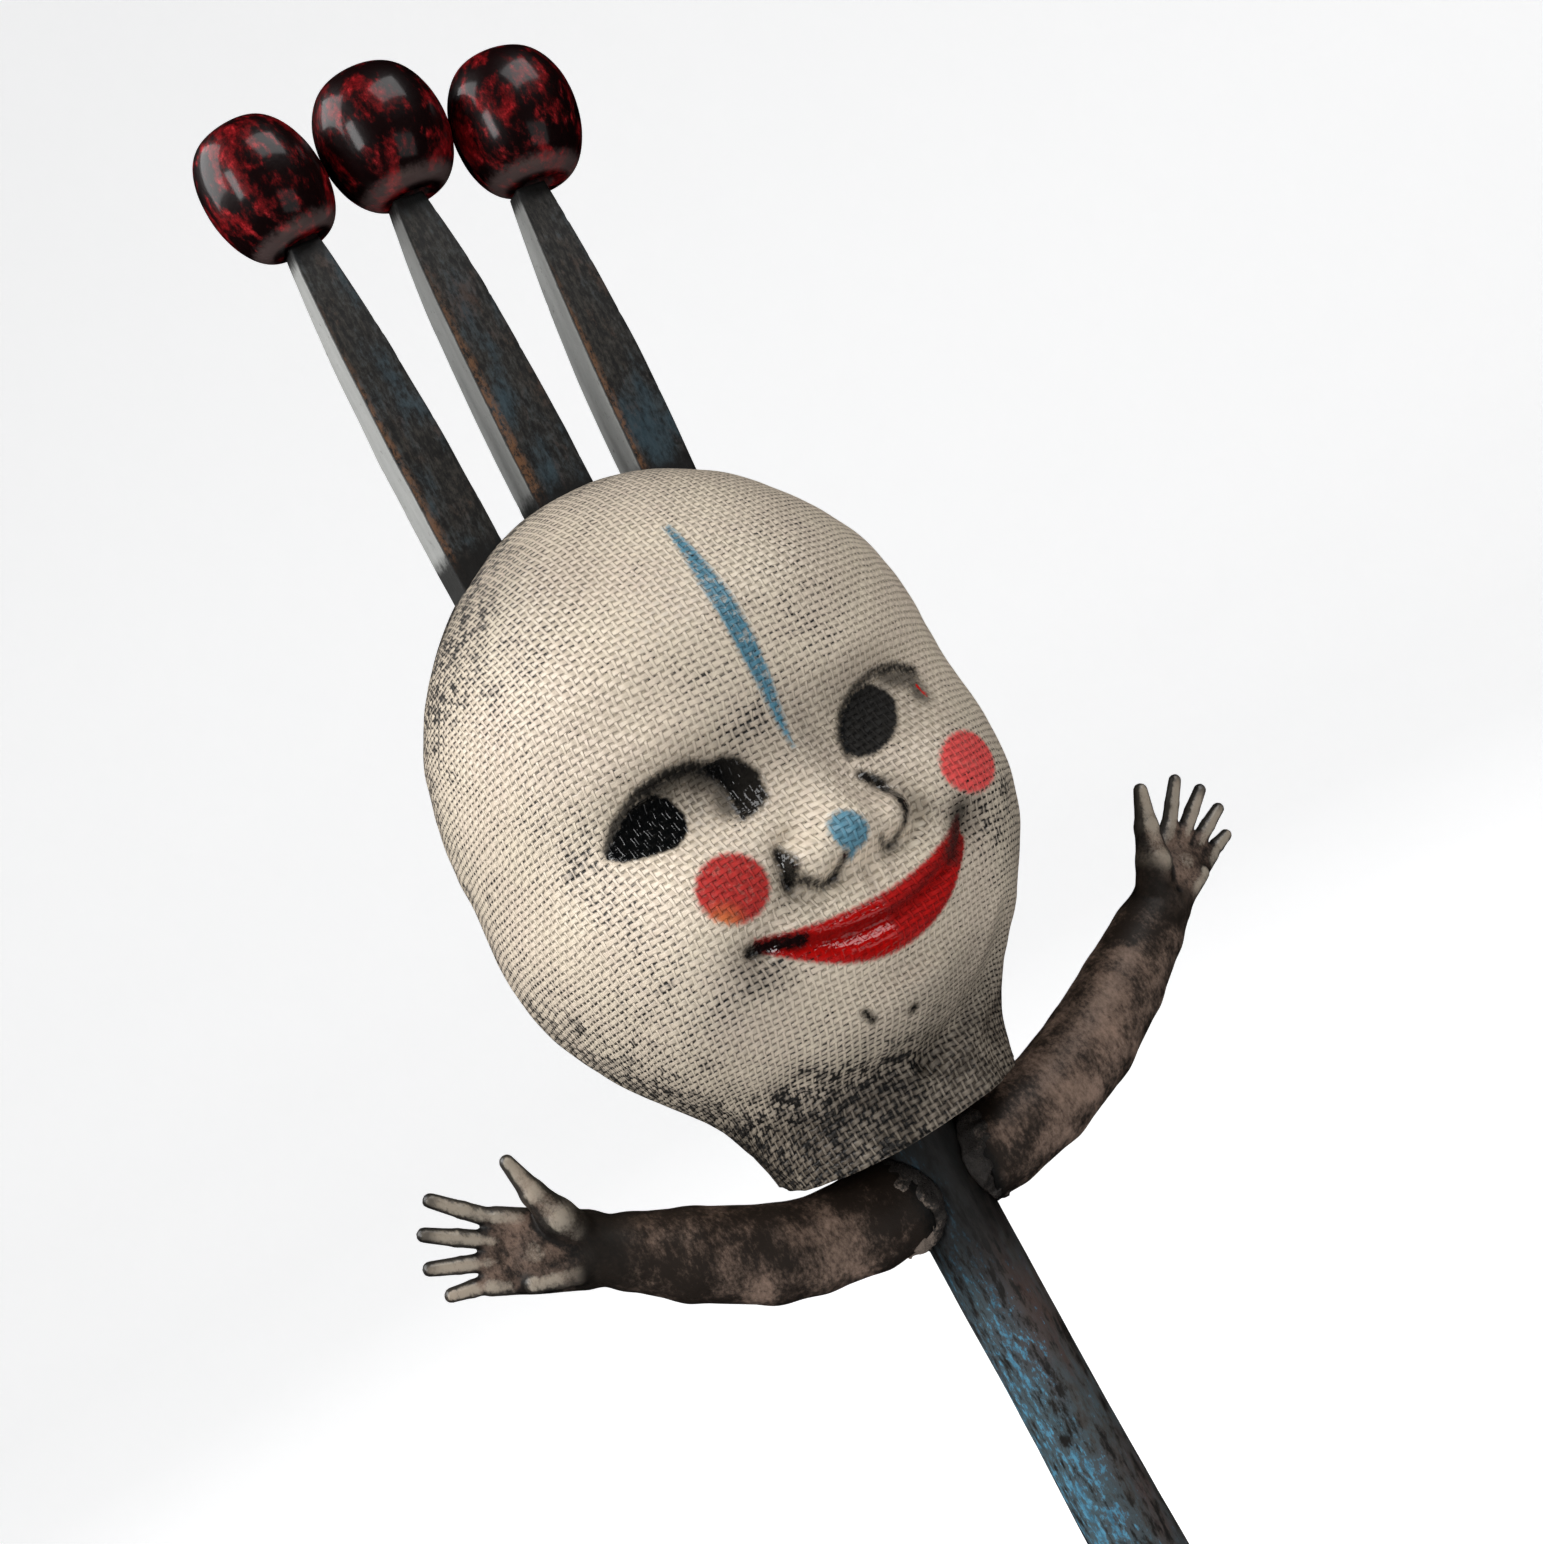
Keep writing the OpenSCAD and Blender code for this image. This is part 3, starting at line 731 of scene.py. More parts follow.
STROKES = [([(-9.8, 55.3), (-9.7, 53.4), (-10.4, 51.4)], 0.95),
           ([(-9.4, 51.4), (-8.0, 50.0), (-6.6, 49.2), (-4.6, 49.5), (-3.6, 51.2)], 0.65),
           ([(5.2, 58.6), (6.9, 56.6), (6.9, 54.4), (6.5, 52.6)], 0.85),
           ([(6.5, 52.6), (5.2, 50.6), (4.2, 49.2), (2.7, 49.7), (1.8, 51.0)], 0.5),
           ([(-18.2, 46.6), (-15.4, 46.0), (-12.6, 44.9)], 0.95),
           ([(-8.0, 32.6), (-7.2, 31.0)], 0.55), ([(-2.0, 29.6), (-1.6, 29.7)], 0.6)]
NOSE_RUN = [([(-2.6, 51.6), (-2.9, 50.8)], 0.5)]
SPECK = [([(21.5, 65.2), (21.8, 63.4)], 0.25)]


def lines_distance(x, h, lines):
    """Distance to the edge of the nearest line, each line given as its points and half width."""
    return np.min([path_distance(x, h, points) - half for points, half in lines], axis=0)


def paint_fields(x, h):
    """Distance to the edge of each painted shape, in mm, negative inside it."""
    x = x - HEAD_X
    left, right = (np.interp(h, STRIPE[:, 0], STRIPE[:, k]) for k in (1, 2))
    ends = np.maximum(-17.4 - x, x - 14.2)
    upper, lower = mouth_line(x, 44.9, 0.0095, 0.0175), mouth_line(x + 0.5, 37.4, 0.0310, 0.0380)
    middle = mouth_line(x + 1.0, 42.6, 0.0160, 0.0240)
    patch = outline_distance(x, h, EYE_PATCH) - 0.35
    return {
        "stripe": np.max([left - x, x - right, 65.8 - h, h - 98.3], axis=0),
        "nose_dot": np.minimum(ellipse_distance(x, h, -1.9, 53.8, 2.2, 2.6),
                               lines_distance(x, h, NOSE_RUN)),
        "cheeks": np.minimum(ellipse_distance(x, h, -17.0, 54.4, 4.4, 4.4),
                             ellipse_distance(x, h, 19.8, 53.4, 5.4, 4.1)),
        "orange": np.where(x < 0, np.hypot(x + 20.3, h - 51.0) - 1.6, 9.0),
        "lips": np.maximum(np.maximum(h - upper, lower - h) * 0.9, ends),
        "lip_shade": np.maximum(np.abs(h - middle) - 0.5, ends),
        "iris": outline_distance(x, h, LEFT_IRIS),
        "grey_iris": outline_distance(x, h, RIGHT_IRIS),
        "lids": lines_distance(x, h, [(LEFT_LID, 0.8), (RIGHT_LID, 0.6)]),
        "smoke": lines_distance(x, h, SMOKE),
        "glint": outline_distance(x, h, GLINT),
        "marks": np.minimum(patch, lines_distance(x, h, STROKES)),
        "speck": lines_distance(x, h, SPECK),
    }


# Darker and paler spots: strength, middle and size.
DIRT_SPOTS = [(0.55, -25, 96, 12, 12), (0.40, 19, 17, 5, 6), (0.50, -29, 66, 5, 14), (0.42, -30, 42, 10, 12),
              (0.48, 26, 46, 8, 11), (0.52, -5, 71, 5, 4), (0.40, 9, 79, 8, 7), (0.30, 15, 92, 12, 8),
              (0.42, 17, 45, 6, 7), (0.55, -18, 43, 4, 3), (0.36, -8, 79, 7, 4), (0.3, 8, 62, 4, 5),
              (-0.10, -12, 88, 12, 10), (-0.10, -20, 52, 8, 8)]
# Spots of brown glazing, most of them painted shade in the eye sockets, between the eyes, beside the nose,
# at the mouth's corners and on the jaw: strength, middle and size.
GLAZE_AND_SHADE_SPOTS = [(0.62, -15, 67, 8, 4), (0.30, 13, 65, 9, 5.5), (0.28, 0, 68, 8, 7), (0.45, -18.0, 44.5, 4, 4),
               (0.50, 15.5, 48, 4, 4.5), (0.40, -11.0, 52.0, 2.6, 4), (0.36, 8.0, 53, 3, 4.5),
               (0.20, 7, 29, 14, 6), (0.30, 26, 42, 7, 12), (0.2, -24, 38, 10, 7), (0.24, -20, 100, 12, 9)]


def dirt_field(x, y, h):
    """How much black is rubbed into the cloth: 0 none, 1 nearly all black."""
    leftwards = smooth_step(9.0, -12.0, x)
    dirt = 0.14 + 0.40 * smooth_step(-20.0, -4.0, y) + 0.34 * smooth_step(-3.0, 8.0, y)
    dirt += 0.30 * smooth_step(96.0, 111.0, h) + bumps(x, h, DIRT_SPOTS)
    dirt += (0.16 + 0.34 * leftwards) * smooth_step(31.0, 22.0, h)
    dirt += (0.10 + 0.18 * leftwards) * smooth_step(42.0, 28.0, h)
    dirt += (0.15 + 0.32 * leftwards) * ridge(path_distance(x, h, CHIN_FOLD), 2.6)
    dirt += 0.36 * smooth_step(17.0, 12.5, h) * smooth_step(4.0, -12.0, x)
    return np.clip(dirt, 0.0, 1.1)


def glaze_and_shade_field(x, y, h):
    """Thin brown-black glazing that darkens the cloth evenly, which is also painted shade: in the hollows
    and under the chin.
    """
    glaze = 0.36 * smooth_step(38.0, 24.0, h) + 0.40 * smooth_step(28.0, 19.0, h)
    glaze += 0.22 * smooth_step(96.0, 111.0, h) + 0.14 * smooth_step(-6.0, 6.0, y)
    return np.clip(glaze + bumps(x, h, GLAZE_AND_SHADE_SPOTS), 0.0, 0.85)


FACE_BACK_Y, NOT_PAINTED = -12.0, 9.0


def build_mask():
    plain = shell_grid(True, 204, 228, 0.3)
    p = plain.reshape(-1, 3)
    raised = p.copy()
    raised[:, 1] -= face_relief(p[:, 0], p[:, 2]) * smooth_step(2.0, FACE_BACK_Y, p[:, 1])
    lumps = wobble(p, 16.0, 3) * 0.25
    lumps += wobble(p * [1.0, 1.0, 0.4], 7.0, 5) * 0.5 * smooth_step(36.0, 22.0, p[:, 2])
    outer = pushed_out(raised.reshape(plain.shape), lumps)
    x, y, h = outer.reshape(-1, 3).T
    painted = paint_fields(x, h)
    # Thick glossy paint lies on the left iris, the lips' left half and the black by the eye.
    wet = np.minimum(painted["iris"], np.maximum(painted["lips"], x + 2.0) + 0.4)
    gloss = smooth_step(0.6, -0.6, np.minimum(wet, painted["marks"]))
    dark = np.min([painted[name] for name in ("grey_iris", "lids", "smoke")], axis=0)
    dull = smooth_step(1.2, -0.2, dark) + 0.95 * smooth_step(0.3, -0.6, painted["lips"])
    dull += 0.7 * smooth_step(0.3, -0.6, painted["cheeks"])
    # The glaze field is brown glazing and painted shade.
    fields = {"dirt": dirt_field(x - HEAD_X, y, h), "glaze": glaze_and_shade_field(x - HEAD_X, y, h),
              "gloss": gloss, "dull": np.clip(dull - gloss, 0.0, 1.0), **thread_fields(plain)}
    for name, distance in painted.items():
        fields[name] = np.where(y > FACE_BACK_Y, NOT_PAINTED, distance)
    painted_cloth = cloth("painted_cloth", CREAM_CLOTH, True)
    make_sheet("cloth_mask", "mask_face", painted_cloth, outer, fields)


def build_back():
    plain = shell_grid(False, 150, 170, 0.0)[:, ::-1]
    p = plain.reshape(-1, 3)
    sink = 0.9 * smooth_step(6.0, 0.5, np.abs(p[:, 1] - seam_y(p[:, 2])))
    outer = pushed_out(plain, wobble(p, 18.0, 8) * 0.3 - sink)
    p = outer.reshape(-1, 3)
    edge = np.abs(p[:, 1] - seam_y(p[:, 2]))
    dirt = np.clip(0.62 + 0.3 * wobble(p, 25.0, 9), 0.3, 1.0) + 0.8 * smooth_step(7.0, 1.0, edge)
    fields = {"dirt": np.clip(dirt, 0.0, 1.3), "glaze": smooth_step(9.0, 1.0, edge), **thread_fields(outer)}
    dark_cloth = cloth("dark_cloth", DARK_CLOTH, False)
    make_sheet("cloth_back", "head_back", dark_cloth, outer, fields)


# ---------------------------------------------------------------- tines and beads

TINE_LEAN, TINE_GAP = 5.0, 15.5
FOOT_SINK, TIP_RISE = 8.0, 0.1
TIP_WIDTH, TIP_DEPTH, TINE_DEPTH = 4.6, 4.4, 8.4
CORNER_R, CORNER_STEPS, SIDE_STEPS = 0.35, 3, 9
BEAD_MOUTH_R, BEAD_HOLE_R, BEAD_LIFT = 3.6, 2.5, 0.4
Tine = namedtuple("Tine", "side width foot_h length lean bead_offset bead_tilt bead_width bead_length")
TINES = {
    "left": Tine(-1, 8.2, 104.5, 53.5, -1.0, 0.2, -6.0, 17.0, 17.45),
    "middle": Tine(0, 9.4, 107.5, 51.7, 0.0, 1.3, 1.0, 18.7, 18.0),
    "right": Tine(1, 8.2, 104.5, 50.3, 2.0, 1.8, 6.0, 18.7, 18.9),
}


def turned(points, about_x, about_y):
    """Points turned about X and then about Y."""
    turn = Matrix.Rotation(math.radians(about_y), 3, "Y") @ Matrix.Rotation(math.radians(about_x), 3, "X")
    return points @ np.array(turn).T


def tine_place(tine, points):
    """From the tine's own frame, with its foot at the origin, to the shoulder's frame."""
    return turned(points, TINE_LEAN, tine.lean) + [HEAD_X + tine.side * TINE_GAP, 0.0, tine.foot_h]


def rounded_square(half_x, half_y):
    """Points round a rounded rectangle, counted evenly on each side and corner."""
    middles = np.array([(1, 1), (-1, 1), (-1, -1), (1, -1)]) * [half_x - CORNER_R, half_y - CORNER_R]
    points = []
    for quarter in range(4):
        a = np.radians(90.0 * (quarter + np.arange(CORNER_STEPS + 1) / CORNER_STEPS))
        arc = CORNER_R * np.stack([np.cos(a), np.sin(a)], -1)
        start, end = middles[quarter] + arc[-1], middles[(quarter + 1) % 4] + arc[-1]
        points += list(middles[quarter] + arc)
        points += [start + (end - start) * k / SIDE_STEPS for k in range(1, SIDE_STEPS)]
    return np.array(points)


def build_tine(name, tine, seed, material):
    rings = []
    end = tine.length + TIP_RISE
    for z in np.concatenate([np.linspace(-FOOT_SINK, 0.0, 8)[:-1], np.linspace(0.0, end, 110)]):
        taper = 1.0 - max(z / tine.length, 0.0) ** 2.6
        ring = rounded_square((TIP_WIDTH + (tine.width - TIP_WIDTH) * taper) / 2.0,
                              (TIP_DEPTH + (TINE_DEPTH - TIP_DEPTH) * taper) / 2.0)
        rings.append(np.column_stack([ring, np.full(len(ring), z)]))
    flat = np.vstack(rings)
    sway = wobble(flat * [0.3, 0.3, 1.0], 22.0, seed) * 0.16
    nicks = np.maximum(0.0, wobble(flat, 2.2, seed + 50) - 0.6) * 0.2
    flat = flat + outwards(flat) * (sway - nicks)[:, None]
    points = np.vstack([flat, [0.0, 0.0, -FOOT_SINK], [0.0, 0.0, end]])
    along = np.append(flat[:, 2] / tine.length, [0.0, 1.0])
    faces = ring_faces(len(rings), len(rings[0]), closed=False)
    make_piece("wood_tine_" + name, "tine_" + name, material, tine_place(tine, points), faces,
               {"along": along, "local_x": points[:, 0], "local_z": points[:, 2]})


def tine_material():
    """Brown-black with fine blue and rust rubs in front and behind, pale grey on the side faces."""
    paint = Paint("rubbed_tine_paint")
    noise, step, mix = paint.brushes()
    side = abs(paint.normal_axis(0))
    grain = noise(0.55, 5.0, 0.72, (1.0, 1.0, 0.22))
    specks = noise(0.7, 5.0, 0.75, (1.0, 1.0, 0.6))
    broad = noise(6.0, 3.0, 0.6, (1.0, 1.0, 0.45))
    other = noise(5.0, 3.0, 0.6, (1.2, 1.1, 0.5), twist=0.6)
    x, z, along = paint.field("local_x"), paint.field("local_z"), paint.field("along")
    brown = step(grain * 0.6 + specks * 0.5, 0.45, 0.72)
    blue = step(broad * 0.6 + specks * 0.35 + grain * 0.25, 0.56, 0.76)
    rust = step(other * 0.65 + specks * 0.5, 0.60, 0.80)
    edge = step(x + (grain - 0.5) * 1.6, -2.4, -3.6) * step(along, 0.95, 0.5) * step(specks, 0.38, 0.58)
    pale = mix(noise(1.6, 3.0, stretch=(1.0, 1.0, 0.16)), (0.27, 0.275, 0.265), (0.42, 0.42, 0.405))
    pale = mix(step(specks, 0.60, 0.72), pale, (0.07, 0.062, 0.05))
    rim = step(side + (specks - 0.5) * 0.5, 0.30, 0.50) * step(side + (specks - 0.5) * 0.3, 0.97, 0.9)
    sooty = paint.high(step(along + (grain - 0.5) * 0.06, 0.94, 0.985),
                       step(z + (specks - 0.5) * 4.0, 8.4, 5.6))
    colour = paint.layered(
        mix(brown, (0.0065, 0.006, 0.0055), (0.050, 0.044, 0.036)),
        (blue * 0.62, (0.034, 0.078, 0.105)), (rust * 0.6, (0.085, 0.043, 0.026)),
        (edge * 0.7, (0.20, 0.085, 0.030)), (step(side + (grain - 0.5) * 0.3, 0.6, 0.8), pale),
        (rim * 0.75, SOOT_AND_SHADE), (sooty * 0.92, SOOT_AND_SHADE))
    paint.relief(grain * 0.6 + specks * 0.4, 0.16)
    return paint.surface(colour, grain * 0.3 + 0.38, 0.35)


def build_bead(name, tine, seed, material):
    """Round bead, a little flattened where the hole comes out."""
    length = tine.bead_length
    angle = np.radians(np.linspace(-90.0, 90.0, 60))
    radius = BEAD_MOUTH_R + (tine.bead_width / 2.0 - BEAD_MOUTH_R) * np.cos(angle)
    lip = [(BEAD_HOLE_R + 0.35, 0.0), (BEAD_HOLE_R + 0.1, 0.1), (BEAD_HOLE_R, 0.35)]
    hole = [(r, length - z) for r, z in lip] + [(BEAD_HOLE_R, length * k / 8.0) for k in range(7, 0, -1)]
    profile = np.vstack([np.column_stack([radius, length / 2.0 * (1.0 + np.sin(angle))]), hole, lip[::-1]])
    flat, cols = lathe(profile, 3.75)
    rounder = smooth_step(3.0, 6.0, np.hypot(flat[:, 0], flat[:, 1]))
    flat[:, :2] *= 1.0 + 0.008 * (wobble(flat, 11.0, seed) * rounder)[:, None]
    tilted = turned(flat + [0.0, 0.0, BEAD_LIFT], 0.0, tine.bead_tilt)
    placed = tine_place(tine, tilted + [tine.bead_offset, 0.0, tine.length])
    make_piece("glazed_bead_" + name, "bead_" + name, material, placed,
               ring_faces(len(profile), cols, closed=True), {"along": flat[:, 2] / length})


def bead_material():
    """Dark red with black patches and small bright flecks, under a thick clear gloss."""
    paint = Paint("mottled_bead_glaze")
    noise, step, mix = paint.brushes()
    patches = noise(5.0, 4.0, 0.6, (1.0, 1.0, 0.7), twist=0.5)
    flecks = noise(0.8, 4.0, 0.75)
    drips = noise(1.7, 4.0, 0.7, (1.2, 1.2, 0.6))
    along = paint.field("along")
    red = mix(step(flecks * 0.5 + drips * 0.6, 0.42, 0.66), (0.020, 0.0006, 0.0008), (0.17, 0.004, 0.006))
    bright = step(flecks * 0.55 + drips * 0.6, 0.62, 0.76)
    dark = step(patches + (drips - 0.5) * 0.45, 0.61, 0.45)
    worn = step(along + (flecks - 0.5) * 0.10, 0.13, 0.05) * step(along, 0.0, 0.02)
    colour = paint.layered(
        red, (bright * 0.8, (0.46, 0.018, 0.022)), (dark, (0.006, 0.0012, 0.0014)),
        (step(along, 0.94, 0.99) * 0.8, SOOT_AND_SHADE), (worn * 0.24, (0.30, 0.21, 0.20)))
    paint.relief(patches * 0.5 + flecks * 0.5, 0.12)
    return paint.surface(colour, flecks * 0.16 + 0.3, 0.1, 0.38, 0.13)


# ---------------------------------------------------------------- pole

FOOT_LENGTH, TAPER_LENGTH, CHAMFER = 60.0, 32.0, 0.8


def build_pole(material):
    low, high = box_mm("pole")
    foot_r, top = (high[0] - low[0]) / 2.0, high[2]
    z = np.concatenate([[0.0, 0.25, 0.55], np.linspace(CHAMFER, top - 0.4, 330), [top - 0.1, top]])
    radius = np.interp(z, [0.0, CHAMFER, FOOT_LENGTH, FOOT_LENGTH + TAPER_LENGTH, top],
                       [foot_r - CHAMFER, foot_r, foot_r, POLE_TOP_R, POLE_TOP_R])
    radius[-2:] = [POLE_TOP_R - 0.15, POLE_TOP_R - 0.6]
    flat, cols = lathe(np.column_stack([radius, z]), 4.0)
    ridges = wobble(flat * [1.0, 1.0, 0.06], 2.4, 21) * 0.07 + wobble(flat * [1.0, 1.0, 0.4], 9.0, 22) * 0.10
    flat = flat + outwards(flat) * np.minimum(ridges - 0.08, 0.0)[:, None]
    points = np.vstack([flat, [0.0, 0.0, 0.0], [0.0, 0.0, top]])
    make_piece("painted_pole", "pole", material, points - [0.0, 0.0, SHOULDER_Z],
               ring_faces(len(z), cols, closed=False), {"height": points[:, 2]})


def pole_material():
    """Turquoise dragged down the grain over brown-black, bluer towards the foot."""
    paint = Paint("streaked_pole_paint")
    noise, step, mix = paint.brushes()
    grain = noise(0.8, 4.0, 0.65, (1.0, 1.0, 0.16))
    flecks = noise(1.1, 5.0, 0.72, (1.0, 1.0, 0.36))
    streaks = noise(3.2, 4.0, 0.65, (1.0, 1.0, 0.22), twist=0.4)
    broad = noise(9.0, 3.0, 0.6, (1.0, 1.0, 0.4))
    speck = noise(0.5, 3.0, 0.7, (1.0, 1.0, 0.5))
    height = paint.field("height")
    leftwards = step(paint.axis(paint.mm, 0) + (streaks - 0.5) * 9.0, 3.0, -4.5)
    greyish = step(streaks * 0.7 + flecks * 0.5, 0.5, 0.72)
    cover = flecks * 0.85 + streaks * 0.50 + (broad - 0.5) * 0.3 + leftwards * 0.14
    cover = cover + step(height, 140.0, 60.0) * 0.06
    rust = step(broad * 0.6 + flecks * 0.5, 0.52, 0.66)
    blue = mix(step(grain * 0.5 + speck * 0.5, 0.36, 0.64), (0.030, 0.125, 0.20), (0.085, 0.31, 0.47))
    dark = step(streaks * 0.5 + flecks * 0.65 + (grain - 0.5) * 0.3, 0.58, 0.47)
    smudged = height + (broad - 0.5) * 8.0 + (flecks - 0.5) * 20.0
    colour = paint.layered(
        mix(grain, (0.018, 0.016, 0.014), (0.075, 0.062, 0.052)),
        (greyish * 0.6, (0.075, 0.085, 0.088)), (step(cover, 0.70, 0.86) * 0.7, (0.055, 0.105, 0.13)),
        (rust * (0.75 - leftwards * 0.4), (0.085, 0.038, 0.025)),
        (step(cover + (speck - 0.5) * 0.45, 0.86, 0.98) * 0.85, blue), (dark * 0.85, SOOT_AND_SHADE),
        (step(smudged, SHOULDER_Z - 18.0, SHOULDER_Z - 3.0) * 0.85, SOOT_AND_SHADE))
    paint.relief(grain * 0.5 + streaks * 0.5, 0.25)
    return paint.surface(colour, streaks * 0.3 + 0.38, 0.4)


# ---------------------------------------------------------------- arms

# Line: (out, up) and diameter from root to wrist. Rise: the hand's, in degrees. Fan: the angle
# between fingers. Size: of palm and fingers. Thumb: (along, up) and radius in the hand's frame.
Arm = namedtuple("Arm", "line rise fan size thumb seed")
ARMS = {
    "left": Arm([(5.0, 2.1, 13.6), (12.1, 2.6, 13.8), (20.5, 4.1, 13.0), (26.3, 6.4, 13.4),
                 (36.2, 12.6, 12.6), (43.2, 17.5, 10.2), (46.6, 19.9, 9.0)], 31.4, 10.5, 1.0,
                [(2.4, 1.8, 2.5), (6.4, 4.4, 2.4), (9.8, 7.4, 1.65), (13.5, 11.4, 1.0)], 32),
    "right": Arm([(5.0, 1.6, 13.8), (11.0, 1.6, 14.0), (20.9, 2.6, 14.0), (31.5, 5.8, 13.8),
                  (41.0, 10.3, 12.8), (49.6, 14.9, 10.9), (53.9, 17.2, 9.4)], 31.2, 12.4, 0.86,
                 [(1.2, 3.0, 2.7), (4.6, 5.3, 2.7), (8.6, 8.8, 1.85), (13.2, 12.3, 1.1)], 31),
}
ARM_FLAT = 5.2
CLAY_STEP = 0.36
WEB, FINGER_START = 14.6, 12.5
THUMB_DEPTHS = [-1.4, -2.6, -2.9, -3.1]
# Reach and bend of each finger, from the first to the little one.
FINGERS = [(24.6, -0.2), (24.4, -0.5), (23.4, -0.35), (21.0, 0.1)]
CREASES = [([(11.6, -3.8, 4.8), (9.2, -4.2, 2.6), (6.6, -4.5, 1.0), (3.2, -4.8, 0.1)], 0.95),
           ([(3.4, -4.7, -0.2), (7.0, -4.4, -1.5), (10.8, -3.9, -2.4)], 0.75),
           ([(12.6, -3.2, 3.4), (12.9, -3.3, 0.0), (12.3, -3.2, -3.4)], 0.45)]


def hand_frame(arm, size):
    """Function from the hand's own frame (along, depth, up towards the thumb) to the shoulder's."""
    c, s = math.cos(math.radians(arm.rise)), math.sin(math.radians(arm.rise))
    out, up = arm.line[-1][:2]

    def place(a, depth, b):
        return out + size * (a * c - b * s), size * depth, up + size * (a * s + b * c)
    return place


def shape_hand(clay, arm):
    """Palm, thumb, four fingers and the creases of a spread hand with its palm to the front."""
    place, grown = hand_frame(arm, 1.0), hand_frame(arm, arm.size)

    def pad(a, b, ra, rb, blend, flat):
        clay.add(grown(*a), grown(*b), ra * arm.size, rb * arm.size, blend, flat)

    fans = [math.radians(arm.fan * (1.5 - k)) for k in range(4)]
    for k, fan in enumerate(fans):
        knuckle = (WEB * math.cos(fan), -0.1, WEB * math.sin(fan))
        pad((2.0, 0.5, (1.5 - k) * 1.5), knuckle, 2.9, 1.75, 1.2, 0.85)
    pad((1.0, 0.0, 0.0), (8.0, 0.1, -0.6), 4.1, 4.0, 1.6, 0.78)
    pad((3.2, -1.9, -2.4), (9.0, -1.8, -3.8), 2.0, 1.5, 0.7, 0.95)
    thumb = [(a, depth, b, r) for (a, b, r), depth in zip(arm.thumb, THUMB_DEPTHS)]
    for (*start, start_r), (*end, end_r) in zip(thumb, thumb[1:]):
        clay.add(place(*start), place(*end), start_r, end_r, 0.7)
    for fan, (reach, bend) in zip(fans, FINGERS):
        joints = [FINGER_START, FINGER_START + (reach - FINGER_START) * 0.55, reach - 1.0]
        line = [grown(r * math.cos(fan), bend * (r - FINGER_START) / 6.0, r * math.sin(fan)) for r in joints]
        clay.add(line[0], line[1], 1.36, 1.16, 0.45)
        clay.add(line[1], line[2], 1.16, 0.98, 0.3)
    for line, radius in CREASES:
        for a, b in zip(line, line[1:]):
            clay.cut(grown(*a), grown(*b), radius * arm.size, 0.45)


def build_arm(name, material):
    arm = ARMS[name]
    wrist_x, wrist_z, _ = arm.line[-1]
    elbow_x, elbow_z, _ = arm.line[3]
    clay = Clay((ARM_FLAT - 1.0, -10.0, -8.0), (wrist_x + 25.0, 10.0, 44.0), CLAY_STEP)
    for (x0, z0, d0), (x1, z1, d1) in zip(arm.line, arm.line[1:]):
        clay.add((x0, 0.0, z0), (x1, 0.0, z1), d0 / 2.0, d1 / 2.0, 0.6, 0.96)
    shape_hand(clay, arm)
    clay.cut((elbow_x - 5.5, -6.5, elbow_z + 6.8), (elbow_x - 2.5, -1.0, elbow_z + 8.8), 0.7, 1.6)
    clay.cut((wrist_x - 2.0, -5.6, wrist_z + 4.4), (wrist_x + 2.6, -5.8, wrist_z - 4.2), 0.9, 1.2)
    clay.trim(ARM_FLAT)
    points, faces = clay.mesh()
    from_axis = np.hypot(points[:, 0], points[:, 1])
    points[:, 0] += np.maximum(0.0, POLE_TOP_R + 0.1 - from_axis)
    points = points + wobble(points, 7.0, arm.seed)[:, None] * [0.0, 0.06, 0.06]
    along = np.interp(points[:, 0], [p[0] for p in arm.line], np.linspace(0.0, 1.0, len(arm.line)))
    out_way = np.array([math.cos(math.radians(arm.rise)), 0.0, math.sin(math.radians(arm.rise))])
    reach = (points - [wrist_x, 0.0, wrist_z]) @ out_way / arm.size
    fields = {"along": along, "reach": reach, "pit": hollows(points, faces)}
    if name == "left":
        points, faces = to_left(points, faces)
    make_piece("cast_arm_" + name, "arm_" + name, material, points, faces, fields)


def hollows(points, faces):
    """How hollow the surface is at each point, -1 to 1, from its neighbours, smoothed."""
    quads = np.array(faces)
    edges = np.vstack([quads[:, [k, (k + 1) % 4]] for k in range(4)])
    here, there = np.vstack([edges, edges[:, ::-1]]).T
    count = np.bincount(here, minlength=len(points)).astype(float)

    def averaged(values):
        total = np.zeros_like(values)
        np.add.at(total, here, values[there])
        return (total.T / count).T

    a, b, c, d = (points[quads[:, k]] for k in range(4))
    normal = np.zeros_like(points)
    for k in range(4):
        np.add.at(normal, quads[:, k], np.cross(c - a, d - b))
    normal /= np.maximum(np.linalg.norm(normal, axis=1, keepdims=True), 1e-9)
    soft = points
    for _ in range(6):
        soft = averaged(soft)
    lift = averaged(averaged(np.sum((soft - points) * normal, axis=1)))
    return np.clip(lift / 0.16, -1.0, 1.0)


